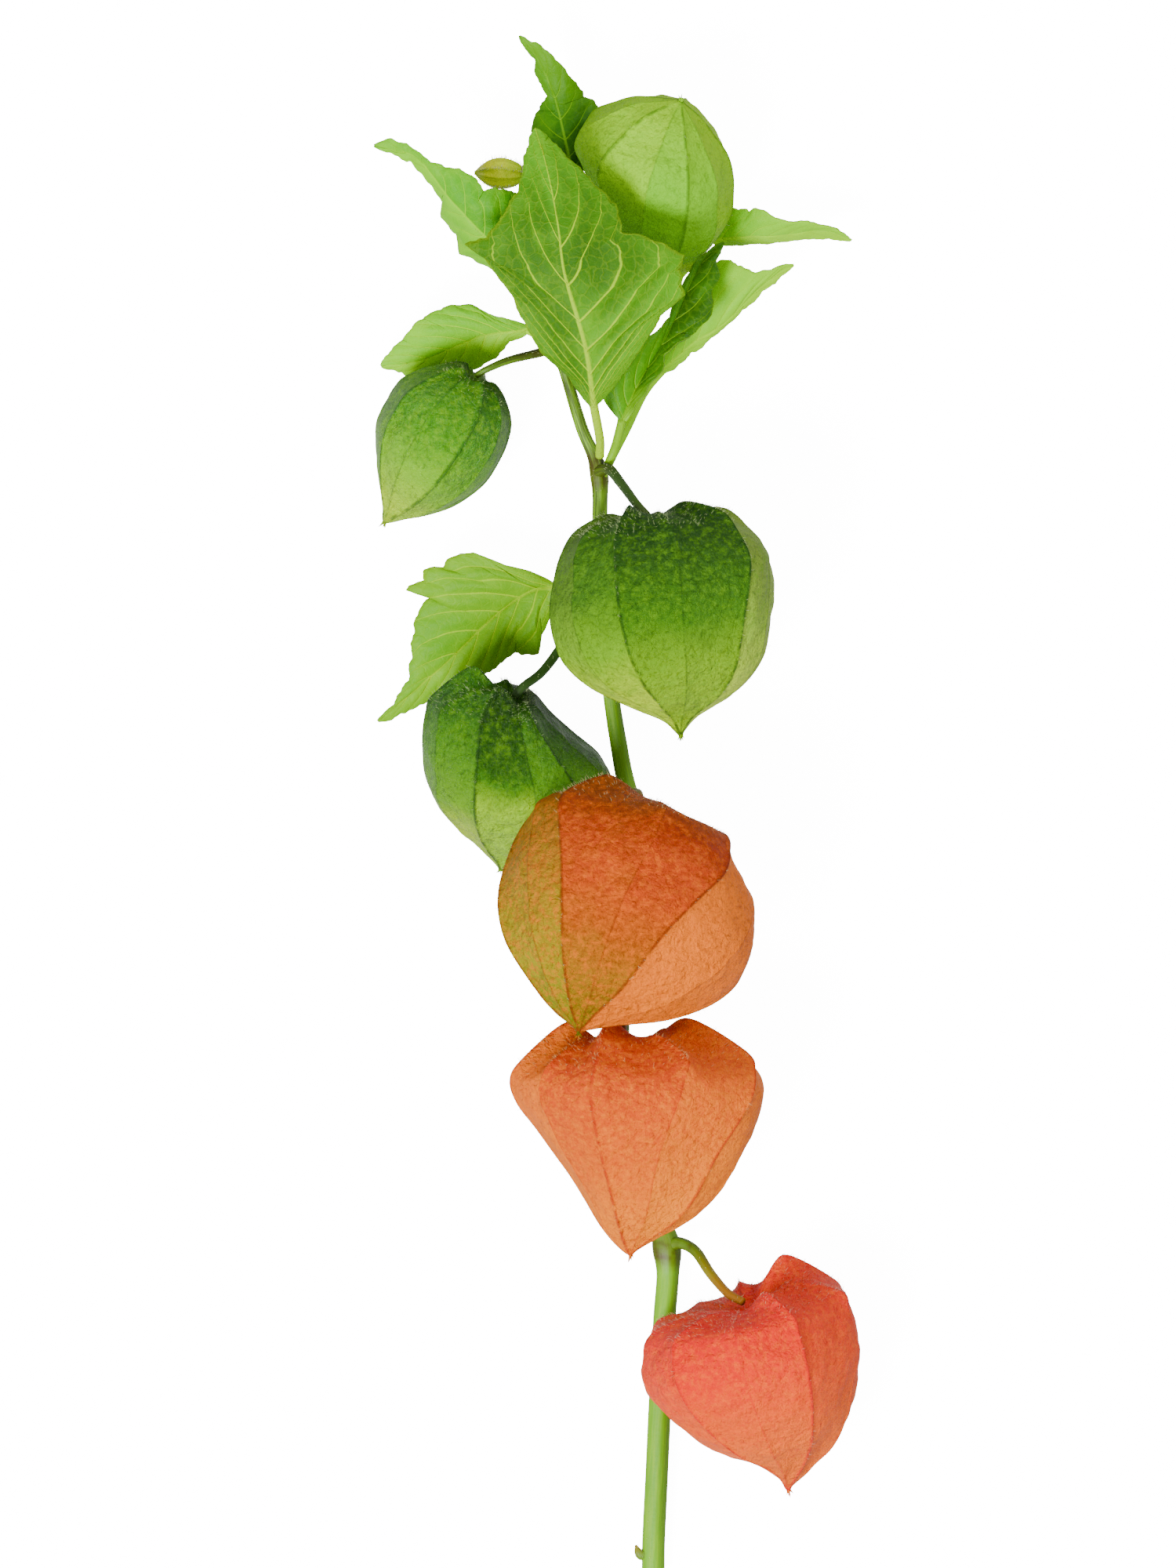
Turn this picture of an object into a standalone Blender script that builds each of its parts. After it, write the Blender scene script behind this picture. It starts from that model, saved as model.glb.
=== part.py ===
"""A cut stem of Chinese lantern laid on its side: the stem with its stalks, eight husks and eight leaves.

Every point is in millimetres, with +Y towards the stem's tip and +Z up from the surface that it lies on.
"""
import math

import bmesh
import bpy
import numpy as np

MM = 0.001
BLADE = 0.66           # thickness of a leaf blade
VEIN = 1.5             # thickness of a leaf at the foot of its midrib
VEIN_SPREAD = 0.5      # how far the midrib thickens the blade, as a share of its half-breadth
STALK = 0.85           # radius of a leaf's stalk, and half the width of the blade's foot
TIP = 0.4              # half the width of a leaf's tip
CLOSEST_ROWS = 0.014   # share of the midrib under which two rows of a blade are one
RIBS = 10              # every husk has five strong ribs and five weak ones between them

# A husk's outline: how far along the line from stalk to beak each half-breadth is measured.
STATIONS = (0.0, 0.1, 0.22, 0.35, 0.48, 0.6, 0.72, 0.83, 0.92, 0.98)
# Inside the crest the husk turns down to its stalk: (share of the crown's height, share of the breadth).
RECESS = ((-0.1, 0.03), (0.25, 0.16), (0.75, 0.34), (1.0, 0.56))
WEAK_CREST = 0.5       # the crest sinks to this share of its height at a weak rib
WEAK_REACH = 0.97      # and a weak rib stands out less than a strong one
# Between two ribs the husk bulges out where it is widest and is hollow towards both ends.
PANEL_BULGE, PANEL_HOLLOW, WIDEST, HOLLOW_POWER = 0.04, 0.32, 0.38, 1.6
RECESS_HOLLOW = -0.1   # and it is hollow between the ribs inside the crest
BEAK_RADIUS = 0.45     # of the blunt point

# base: floor of the recess; tip: point of the beak; left, right: half-breadths at the stations;
# crown: height of the shoulder over the base on the left and on the right, as a share of the length;
# deep: depth to breadth; ribs: bearings of the seen ribs, in degrees from the right edge over the upper
# side; weak_first: whether the first of them is a weak one.
HUSKS = {
    "lantern_lime": dict(
        base=(6, 105.5, 6.2), tip=(12.5, 134.3, 24.2), crown=(0.08, 0.08), deep=0.95, rests=True,
        left=(8, 10, 11.2, 13, 15.4, 17.8, 17, 13, 9, 3),
        right=(9.5, 11.2, 13, 14, 13.5, 12.6, 10.7, 7.2, 4.2, 1.2),
        ribs=(-5, 30, 64, 98, 132, 172), weak_first=False, colour=(155, 200, 40)),
    "lantern_small_green": dict(
        base=(-27.3, 81, 15.1), tip=(-44.3, 54, 5.6), crown=(0.05, 0.05), deep=1.0, rests=True,
        left=(6, 9.2, 11.6, 12, 11.5, 9.8, 7.2, 4.3, 2, 0.9),
        right=(7, 10.3, 11.8, 12.3, 12.2, 11, 9, 6, 3, 1.2),
        ribs=(-4, 30, 66, 106, 138, 176), weak_first=False, colour=(95, 155, 45)),
    "lantern_big_green": dict(
        base=(6.2, 54, 31), tip=(12.5, 13, 28), crown=(0.06, 0.05), deep=0.88, rests=False,
        left=(14, 17.4, 19.5, 21, 21, 19.6, 15.5, 9, 3, 1),
        right=(14.5, 18, 21, 21.3, 20.3, 19, 16.8, 12, 4, 0.9),
        ribs=(18, 44, 80, 112, 145, 180), weak_first=True, colour=(100, 150, 50)),
    "lantern_dark_green": dict(
        base=(-19.5, 19.2, 20), tip=(-22, -12.7, 3.6), crown=(0.2, 0.03), deep=0.82, rests=True,
        left=(15.4, 16.4, 16.7, 16.4, 15.7, 13.8, 10.6, 6.5, 2.7, 0.8),
        right=(4.5, 7.6, 12.4, 17.8, 19.4, 16, 12, 7.5, 3.5, 1.3),
        ribs=(12, 45, 73, 111, 150, 185), weak_first=True, colour=(60, 115, 30)),
    "lantern_turning": dict(
        base=(4.5, -2.2, 33.5), tip=(-7, -43.6, 44.5), crown=(0.13, 0.03), deep=0.8, rests=False,
        left=(16.2, 20.3, 21.4, 21.8, 21.9, 20.8, 17.8, 12.5, 7, 1.5),
        right=(16.2, 20, 23.9, 25.6, 26.3, 25, 21, 14.5, 6, 1.2),
        ribs=(19, 59, 86, 122, 146, 178), weak_first=True, colour=(215, 130, 40)),
    "lantern_orange": dict(
        base=(1.5, -48, 28.5), tip=(2.9, -86.2, 27), crown=(0.14, 0.14), deep=0.82, rests=False,
        left=(20, 21.8, 20.4, 17, 13.8, 10.8, 8.2, 5.9, 3.6, 1.5),
        right=(23, 25.5, 26.4, 25.1, 22.5, 20, 17, 12, 5.3, 1.2),
        ribs=(4, 38, 73, 110, 148, 184), weak_first=True, colour=(235, 135, 35)),
    "lantern_red": dict(
        base=(24.8, -96.5, 20), tip=(33.2, -131.5, 13), crown=(0.04, 0.16), deep=0.97, rests=True,
        left=(17.6, 20.4, 21.6, 21, 18.6, 15.2, 10.6, 4.4, 1.4, 0.7),
        right=(18, 18.8, 19, 18.6, 17.4, 15.6, 13.4, 9.5, 5, 1.1),
        ribs=(13, 64, 98, 132, 168), weak_first=True, colour=(235, 80, 30)),
    "lantern_bud": dict(
        base=(-17.8, 120.4, 15), tip=(-27, 120.8, 14.5), crown=(0.05, 0.05), deep=0.9, rests=False,
        left=(1.2, 1.9, 2.4, 2.7, 2.8, 2.6, 2.2, 1.5, 0.9, 0.4),
        right=(1.2, 1.9, 2.4, 2.7, 2.8, 2.6, 2.2, 1.5, 0.9, 0.4),
        ribs=(0, 36, 72, 108, 144, 180), weak_first=False, colour=(205, 215, 165)),
}

# stalk: from the stem towards the foot of the blade; rib: the midrib from there to the tip; left, right:
# the blade's edge as (share of the midrib, x, y, z), with a point at each lobe, tooth and notch.
LEAVES = {
    "leaf_top": dict(
        stalk=((-7.2, 116.4, 14.2), (-7.4, 118, 13.2)),
        rib=((-7.8, 119.5, 12.5), (-8.7, 123, 10.8), (-11, 133.3, 9), (-12.3, 137.2, 9.6),
             (-14.8, 142.7, 11.6), (-18.4, 147, 13.5)),
        left=((0.12, -12, 123, 8.6), (0.3, -16, 129, 6), (0.45, -14.7, 133, 6),
              (0.58, -12.9, 135.8, 8.6), (0.7, -15.1, 140, 9), (0.82, -15.3, 142.7, 10.8)),
        right=((0.08, -5, 123.8, 6), (0.22, -2, 129.8, 5.6), (0.34, -3, 133.3, 7),
               (0.48, -6, 135.6, 8.4), (0.64, -9.2, 140, 11.2), (0.8, -13.3, 144.3, 12.8)),
        arch=0.08, colour=(165, 205, 70)),
    "leaf_upper_left": dict(
        stalk=((-13.2, 92.8, 15.2), (-14.4, 95, 16.5)),
        rib=((-18, 101, 18), (-24.3, 107.8, 20.5), (-31.6, 115.6, 22), (-35.2, 120.4, 22),
             (-38.7, 124, 21), (-46.1, 125.9, 17.2)),
        left=((0.1, -22, 102, 15), (0.2, -27.3, 104.5, 12), (0.28, -29.7, 105.5, 12),
              (0.36, -30.4, 109.2, 13), (0.46, -33.3, 112.5, 14), (0.55, -33, 115.2, 17),
              (0.66, -35, 118.3, 20), (0.8, -38.9, 122.8, 20.2), (0.9, -42.7, 124.5, 18.8)),
        right=((0.08, -16, 107.2, 20), (0.2, -18.8, 116.5, 22), (0.3, -21.8, 117.4, 24),
               (0.38, -25, 117.3, 24), (0.48, -27.3, 119.8, 24), (0.6, -31.6, 121.5, 23.5),
               (0.72, -35.2, 122.5, 22.5), (0.83, -39.4, 125.7, 21), (0.92, -42.8, 127.1, 19.5)),
        arch=0.1, colour=(170, 205, 85)),
    "leaf_front": dict(
        stalk=((-3, 66.5, 15.8), (-3, 69.8, 19)),
        rib=((-4.2, 76.3, 24), (-5.4, 85.2, 29.5), (-7.2, 92.2, 33), (-9.8, 101.2, 35.5),
             (-11, 110, 36), (-13, 120.6, 34.5), (-15.3, 128.7, 32)),
        left=((0.06, -9, 81.8, 26), (0.13, -14, 86.2, 29), (0.19, -17, 91.2, 31),
              (0.25, -19.6, 97, 32), (0.33, -25, 104.2, 31), (0.38, -28.5, 106.6, 29.8),
              (0.43, -24.6, 108, 31.4), (0.5, -21.8, 111, 33), (0.62, -18.6, 116.7, 33.5),
              (0.72, -17.7, 120.4, 33), (0.85, -17.2, 124.2, 32.5)),
        right=((0.06, 1.8, 82.5, 27), (0.11, 4.2, 86.1, 29), (0.18, 8.5, 93.1, 30.5),
               (0.25, 13, 97, 31), (0.33, 12, 102, 32.5), (0.38, 13, 104.4, 33), (0.46, 6, 107.8, 35),
               (0.5, 1, 108.8, 36), (0.6, 0.3, 113.5, 35), (0.7, -4, 117.6, 34), (0.82, -9.4, 123, 33),
               (0.93, -13, 127, 32)),
        arch=0.06, colour=(105, 150, 70)),
    "leaf_far_right": dict(
        stalk=((-5.2, 111, 13), (-5, 106, 8.5), (-4, 99.5, 3.6), (1, 95.5, 1.7), (7, 95.8, 1.4),
               (11, 100, 1.6), (14.6, 104, 2)),
        rib=((18.5, 108.3, 4), (24.8, 108.9, 5.5), (32.2, 109.2, 7.5), (38.2, 110, 9),
             (42, 109.6, 9.5), (45.3, 108, 9)),
        left=((0.08, 21.6, 114.3, 5.2), (0.2, 25.8, 113.7, 8.5), (0.25, 26.8, 114.1, 9.5),
              (0.36, 30.6, 112.3, 11), (0.48, 33, 111.5, 11.5), (0.54, 34, 111.2, 11),
              (0.6, 35.5, 111.6, 11.5), (0.72, 39, 111, 11), (0.85, 42, 110.4, 10.5)),
        right=((0.1, 22, 107.4, 2.4), (0.3, 26.5, 107.6, 2.2), (0.5, 32, 108, 3.4),
               (0.7, 36.8, 108.6, 5.6), (0.85, 41, 108.6, 7.6)),
        arch=0.06, colour=(175, 205, 80)),
    "leaf_right_back": dict(
        stalk=((-0.6, 66.5, 9.5), (2.2, 72, 8), (5.5, 78.8, 6.5)),
        rib=((9, 83.2, 5.5), (14.5, 88.2, 5.5), (20.7, 92.2, 6.5), (26.8, 98.4, 8), (31.2, 102, 9),
             (34.2, 103.3, 9)),
        left=((0.06, 9.8, 89.2, 6), (0.12, 12.4, 94.5, 7), (0.2, 15.8, 100.5, 8), (0.3, 20, 104.1, 9),
              (0.4, 23.6, 103.3, 10), (0.52, 26.8, 101.8, 10), (0.7, 30, 102.4, 10),
              (0.86, 32.2, 103.3, 9.5)),
        right=((0.2, 14.8, 86.6, 4.2), (0.36, 18.4, 89.4, 4.6), (0.5, 21.4, 91.8, 5.2),
               (0.62, 24.2, 94.6, 6), (0.76, 28, 98.2, 7.4), (0.9, 31.9, 101.5, 8.6)),
        arch=0.06, colour=(165, 195, 70)),
    "leaf_right_front": dict(
        stalk=((-0.6, 66.8, 15.3), (0.3, 69.5, 15.5)),
        rib=((1.3, 73.5, 16), (4, 79.5, 16), (7, 84.8, 15.5), (9.2, 88.5, 15), (11.5, 93, 14.4),
             (14.2, 99, 14), (16.8, 104, 13.8), (20.7, 107.4, 13.2)),
        left=((0.03, -2, 77, 16), (0.08, -2.5, 80.2, 17), (0.15, 0, 84, 17.5), (0.25, 4, 87.8, 17.5),
              (0.32, 6.9, 90, 17), (0.4, 8.9, 91.2, 16), (0.5, 10.4, 93.6, 14.2),
              (0.65, 13, 99.2, 14.2), (0.8, 15.5, 104, 14.8)),
        right=((0.08, 3.6, 75.8, 17), (0.18, 6.7, 80.2, 17.5), (0.26, 8.9, 82.8, 17.5),
               (0.34, 9.6, 86, 17), (0.4, 12, 88.2, 16.5), (0.48, 15, 89.7, 16),
               (0.56, 18.6, 94.3, 15.5), (0.66, 18.3, 98.1, 15), (0.74, 19.8, 100.8, 15),
               (0.84, 19.2, 104, 14.4)),
        arch=0.08, colour=(150, 190, 60)),
    "leaf_mid_left": dict(
        stalk=((-13.4, 88.6, 13.2), (-14.8, 89.7, 12.5)),
        rib=((-16.9, 90.8, 11.5), (-24.6, 90, 9.5), (-29, 88.5, 8), (-36.8, 85.3, 5.5), (-45, 84, 4)),
        left=((0.12, -20.2, 88.6, 9), (0.3, -24, 85.2, 6.5), (0.45, -28.2, 83.6, 4.5),
              (0.62, -34, 82.6, 3.3), (0.76, -39.6, 82.2, 2.8), (0.84, -41, 83.2, 3.2)),
        right=((0.06, -20.6, 92.9, 12), (0.12, -24, 93.6, 11.5), (0.18, -27.6, 95.8, 11),
               (0.28, -33.4, 95, 10), (0.38, -36.8, 93.1, 9), (0.48, -39, 91.2, 8),
               (0.6, -40.6, 89.2, 6.5), (0.7, -42, 88.2, 6), (0.84, -43.4, 86.2, 5)),
        arch=0.1, colour=(155, 195, 90)),
    "leaf_low_left": dict(
        stalk=((-5.5, 41.5, 11.5), (-8, 42, 11)),
        rib=((-11.8, 41.5, 10), (-15.8, 41, 9), (-20.6, 38, 7.5), (-25.5, 33.8, 6), (-30.4, 29, 5),
             (-36.6, 23.4, 4), (-45.6, 15.8, 2.5)),
        left=((0.03, -12.6, 36, 8), (0.07, -14.2, 32.4, 7), (0.1, -14.8, 29, 6),
              (0.17, -19.2, 29, 5.5), (0.26, -22, 27, 4.6), (0.36, -24.3, 25.5, 4),
              (0.5, -29.2, 23, 2.8), (0.66, -34, 21.4, 2.2), (0.84, -39.8, 18, 2.2)),
        right=((0.02, -16.3, 44.4, 11), (0.04, -21.1, 45.6, 11.5), (0.07, -27.3, 48.1, 11),
               (0.11, -30.4, 47.7, 10.5), (0.15, -33.4, 45.4, 10), (0.19, -36.8, 45, 9.5),
               (0.23, -37, 43, 9), (0.27, -40, 41.1, 8), (0.33, -35.6, 39.6, 7.5),
               (0.42, -37.8, 36.3, 6.5), (0.58, -39, 28.3, 5), (0.74, -39.6, 23.8, 4),
               (0.88, -42.6, 18.9, 3)),
        arch=0.08, colour=(150, 185, 80)),
}

# The stem from its cut end to its tip, bent at each node where a leaf and a husk stand out.
STEM = ((7.2, -147.4, 2.6), (7.3, -141, 2.7), (7.9, -128.2, 3), (8.5, -114.8, 3.3), (9.3, -99.8, 3.7),
        (9.8, -85.5, 4.2), (5.5, -71.2, 5.2), (1.8, -56.2, 6.2), (0, -43, 7.2), (0.8, -29.2, 8.2),
        (2, -14.2, 9.2), (2.6, -0.8, 10), (1.1, 8.2, 10.4), (-0.7, 19.5, 10.8), (-1.9, 30.8, 11.2),
        (-2.7, 42, 11.5), (-3, 53.2, 12), (-3.3, 63.8, 12.5), (-6.5, 72, 13), (-9.4, 81.8, 13.5),
        (-10.9, 87.8, 14), (-10.7, 98.2, 14.6), (-8.5, 107.2, 15), (-6.8, 113, 15))
STEM_RADII = ((-147, 2.2), (-90, 2.15), (-40, 2), (0, 1.75), (20, 1.55), (62, 1.45), (66, 1.2), (113, 0.95))
NODES = (-85.5, -43, -0.8, 42, 63.8, 87.8, 113)
NODE_SWELL = 0.3       # added to the radius at a node, as a share
NODE_LENGTH = 3.0      # how far the swelling reaches along the stem

# The husks' stalks, rooted in the stem's middle: points, then the radius at the root and at the end.
STALKS = (
    (((9.8, -85.6, 4.5), (12.2, -84.3, 6.5), (15.4, -85.9, 9), (18.2, -90, 13.5), (21.4, -93.6, 18.2),
      (24.4, -95.3, 20.3)), 1.15, 0.8),
    (((0, -43, 7.5), (0.2, -40.6, 12), (0.5, -39.6, 18), (0.9, -40.2, 24), (1.3, -42.8, 28),
      (1.5, -46.9, 28.6)), 1.1, 0.8),
    (((2.6, -0.4, 10), (3.2, 1.2, 16), (3.8, 2, 23), (4.5, 1.6, 29.5), (4.7, -0.8, 33)), 1.1, 0.8),
    (((-2.7, 42, 11.5), (-6.8, 35.2, 12.6), (-10.9, 29.2, 14.5), (-14.2, 25, 17.8), (-17.6, 22.4, 20.6),
      (-19.3, 20.4, 20.6)), 1.05, 0.8),
    (((-3.3, 63.5, 13), (-1.2, 64, 16.5), (1.4, 60.8, 23), (4, 57.2, 29.5), (6, 55, 31.2)), 1.05, 0.8),
    (((-10.9, 87.6, 14), (-14.2, 86.4, 14.5), (-20.2, 84.9, 16), (-24.4, 83.2, 16.6),
      (-26.6, 82, 15.6)), 0.95, 0.6),
    (((-10.8, 96, 14.5), (-7, 96.6, 11), (-2, 97.6, 6.6), (3, 99.6, 3.6), (5.2, 102.4, 4.3),
      (5.7, 104.3, 5.5)), 0.9, 0.65),
    (((-6.8, 113, 15), (-10, 117.1, 15), (-13.5, 119.8, 15), (-16.9, 120.4, 15)), 0.75, 0.5),
)
SIDE_BUD = ((7.2, -143.5, 2.6), (4.9, -144.2, 3.4), (3.9, -142.4, 4))
SIDE_BUD_RADII = (1.1, 1.3, 1.1, 0.7, 0.2)
STEM_RINGS, STEM_SIDES, STALK_SIDES = 50, 10, 7
STEM_COLOUR = (125, 160, 70)


def material(name, rgb, roughness=0.55):
    """A Principled material of a colour given as on a paint card, from 0 to 255."""
    mat = bpy.data.materials.new(name)
    mat.use_nodes = True
    shader = mat.node_tree.nodes["Principled BSDF"]
    linear = [((c / 255 + 0.055) / 1.055) ** 2.4 for c in rgb]
    shader.inputs["Base Color"].default_value = (*linear, 1)
    shader.inputs["Roughness"].default_value = roughness
    shader.inputs["Metallic"].default_value = 0
    return mat


def add_object(name, points, faces, rgb):
    """One closed mesh, with its faces turned outwards and its edges softened in shading."""
    mesh = bpy.data.meshes.new(name)
    mesh.from_pydata([tuple(float(c) * MM for c in p) for p in points], [], faces)
    shape = bmesh.new()
    shape.from_mesh(mesh)
    bmesh.ops.recalc_face_normals(shape, faces=shape.faces)
    shape.to_mesh(mesh)
    shape.free()
    mesh.shade_smooth()
    mesh.set_sharp_from_angle(angle=math.radians(35))
    mesh.materials.append(material(name, rgb))
    obj = bpy.data.objects.new(name, mesh)
    bpy.context.scene.collection.objects.link(obj)
    return obj


def unit(v):
    return v / np.linalg.norm(v)


def smooth_curve(points, shares):
    """Points at the given shares of a smooth curve's length, through all the points of a list."""
    p = np.array(points, float)
    p = np.vstack([2 * p[0] - p[1], p, 2 * p[-1] - p[-2]])
    dense = [p[1]]
    for a, b, c, d in zip(p, p[1:], p[2:], p[3:]):
        for t in np.linspace(0, 1, 9)[1:]:
            dense.append(0.5 * (2 * b + (c - a) * t + (2 * a - 5 * b + 4 * c - d) * t * t
                                + (3 * b - a - 3 * c + d) * t ** 3))
    dense = np.array(dense)
    run = np.concatenate([[0], np.cumsum(np.linalg.norm(np.diff(dense, axis=0), axis=1))])
    return np.column_stack([np.interp(np.array(shares) * run[-1], run, dense[:, k]) for k in range(3)])


def tube(points, radii, sides):
    """A closed tube along points, each ring square to the run; returns its points and faces."""
    points = np.array(points, float)
    along = np.gradient(points, axis=0)
    verts, faces = [], []
    across = unit(np.cross(along[0], (0, 0, 1)))
    for centre, run, radius in zip(points, along, radii):
        run = unit(run)
        across = unit(across - run * across.dot(run))
        over = np.cross(across, run)
        for k in range(sides):
            turn = 2 * math.pi * k / sides
            verts.append(centre + radius * (math.cos(turn) * across + math.sin(turn) * over))
    for j in range(len(points) - 1):
        for k in range(sides):
            a, b = j * sides + k, j * sides + (k + 1) % sides
            faces.append((a, b, b + sides, a + sides))
    faces.append(tuple(range(sides)))
    faces.append(tuple(range(len(verts) - sides, len(verts))))
    return verts, faces


def rib_bearings(seen):
    """The ten ribs of a husk: those that are seen, then the others spread evenly behind."""
    hidden = RIBS - len(seen)
    step = (seen[0] + 360 - seen[-1]) / (hidden + 1)
    return list(seen) + [seen[-1] + step * (k + 1) for k in range(hidden)]


def husk_rows(husk):
    """Rows of a husk from the floor of its recess to its beak: (along, crest, left, right, bulge)."""
    left0, right0 = husk["left"][0], husk["right"][0]
    rows = [(0.0, rise, left0 * share, right0 * share, RECESS_HOLLOW) for rise, share in RECESS]
    for station, left, right in zip(STATIONS, husk["left"], husk["right"]):
        bulge = PANEL_BULGE - PANEL_HOLLOW * abs(station - WIDEST) ** HOLLOW_POWER
        rows.append((station, 0.0, left, right, bulge))
    rows.append((1.0, 0.0, BEAK_RADIUS, BEAK_RADIUS, PANEL_BULGE))
    return rows


def husk_points(husk):
    """Rings of points, each with the ten ribs and the middle of the panel between each two."""
    base, tip = np.array(husk["base"], float), np.array(husk["tip"], float)
    axis = tip - base
    right = unit(np.cross((0, 0, 1), axis))
    right *= math.copysign(1, right[0])
    up = unit(np.cross(axis, right))
    up *= math.copysign(1, up[2])
    bearings = np.radians(rib_bearings(husk["ribs"]))
    weak = (np.arange(RIBS) + husk["weak_first"]) % 2
    reach = np.where(weak, WEAK_REACH, 1.0)
    widest_right = (reach * np.cos(bearings)).max()
    widest_left = -(reach * np.cos(bearings)).min()
    crest = np.where(weak, WEAK_CREST, 1.0)
    rings = []
    for along, rise, half_left, half_right, bulge in husk_rows(husk):
        deep = (half_left + half_right) / 2 * husk["deep"]
        corners = []
        for bearing, share, height in zip(bearings, reach, crest):
            side = math.cos(bearing)
            wide = half_right / widest_right if side > 0 else half_left / widest_left
            crown = (husk["crown"][0] * (1 - side) + husk["crown"][1] * (1 + side)) / 2
            corners.append(base + axis * (along - crown * rise * height)
                           + share * (wide * side * right + deep * math.sin(bearing) * up))
        ring = []
        for this, following in zip(corners, corners[1:] + corners[:1]):
            middle = (this + following) / 2
            outward = middle - base
            outward = unit(outward - axis * outward.dot(axis) / axis.dot(axis))
            ring += [this, middle + outward * bulge * np.linalg.norm(following - this)]
        rings.append(ring)
    return np.array(rings)


def rest_on_surface(rings):
    """Lowers a husk until four points of its belly are flat on the surface."""
    rings[..., 2] -= np.sort(rings[..., 2].ravel())[3]
    rings[..., 2] = np.maximum(rings[..., 2], 0)


def add_husk(name, husk):
    rings = husk_points(husk)
    if husk["rests"]:
        rest_on_surface(rings)
    rows, around = rings.shape[:2]
    faces = []
    for j in range(rows - 1):
        for k in range(around):
            a, b = j * around + k, j * around + (k + 1) % around
            c, d = b + around, a + around
            faces += [(a, b, c), (a, c, d)] if k % 2 else [(a, b, d), (b, c, d)]
    faces.append(tuple(range(around)))
    faces.append(tuple(range((rows - 1) * around, rows * around)))
    return add_object(name, rings.reshape(-1, 3), faces, husk["colour"])


ACROSS = (-1, -0.68, -0.34, 0, 0.34, 0.68, 1)


def whole_edge(edge, rib, hand):
    """A blade's edge with its ends: narrow at the foot and at the tip, square to the midrib."""
    ends = []
    for share, point, neighbour, half_width in ((0, rib[0], rib[1], STALK), (1, rib[-1], rib[-2], TIP)):
        along = unit(np.array(neighbour, float) - point) * (1 if share == 0 else -1)
        square = unit(np.array((-along[1], along[0], 0))) * hand * half_width
        ends.append((share, *(point + square)))
    return np.array([ends[0], *edge, ends[1]])


def blade_rows(leaf):
    """The middle surface of a blade, from its foot to its tip, and the shares where its rows lie."""
    left = whole_edge(leaf["left"], leaf["rib"], 1)
    right = whole_edge(leaf["right"], leaf["rib"], -1)
    shares = [0.0]
    for mark in sorted({*left[:, 0], *right[:, 0]}):
        if mark - shares[-1] > CLOSEST_ROWS:
            shares.append(mark)
    rows = []
    for s, middle in zip(shares, smooth_curve(leaf["rib"], shares)):
        row = []
        for u in ACROSS:
            edge = left if u < 0 else right
            reach = [np.interp(s, edge[:, 0], edge[:, k]) for k in (1, 2, 3)] - middle
            lift = leaf["arch"] * np.linalg.norm(reach) * 4 * abs(u) * (1 - abs(u))
            row.append(middle + reach * abs(u) + np.array((0, 0, lift)))
        rows.append(row)
    return np.array(rows), np.array(shares)


def blade_normals(rows):
    """Which way each point of a blade faces, evened out from row to row so that its faces never cross."""
    along = np.gradient(rows[:, len(ACROSS) // 2], axis=0)
    left = np.cross(along, rows[:, 0] - rows[:, len(ACROSS) // 2])
    right = np.cross(rows[:, -1] - rows[:, len(ACROSS) // 2], along)
    sides = []
    for side in (left, right):
        side /= np.linalg.norm(side, axis=1, keepdims=True)
        side[0], side[-1] = side[2], side[-3]
        for _ in range(3):
            side[1:-1] = (side[:-2] + 2 * side[1:-1] + side[2:]) / 4
        sides.append(side)
    shares = (np.array(ACROSS) + 1) / 2
    normal = np.stack([sides[0] * (1 - t) + sides[1] * t for t in shares], axis=1)
    normal /= np.linalg.norm(normal, axis=2, keepdims=True)
    return normal * np.sign(normal[..., 2].sum())


def stalk_rings(leaf, side):
    """The upper and lower half of each ring of a leaf's stalk, turned to meet the foot of the blade."""
    route = (*leaf["stalk"], leaf["rib"][0])
    points = smooth_curve(route, np.linspace(0, 1, 2 * len(route)))
    along = np.gradient(points, axis=0)
    turns = np.radians(np.linspace(165, 15, len(ACROSS)))[:, None]
    upper, lower = [], []
    for centre, direction in zip(points[:-1][::-1], along[:-1][::-1]):
        direction = unit(direction)
        side = unit(side - direction * side.dot(direction))
        over = np.cross(side, direction)
        upper.insert(0, centre + STALK * (np.cos(turns) * side + np.sin(turns) * over))
        lower.insert(0, centre + STALK * (np.cos(turns) * side - np.sin(turns) * over))
    return np.array(upper), np.array(lower)


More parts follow.
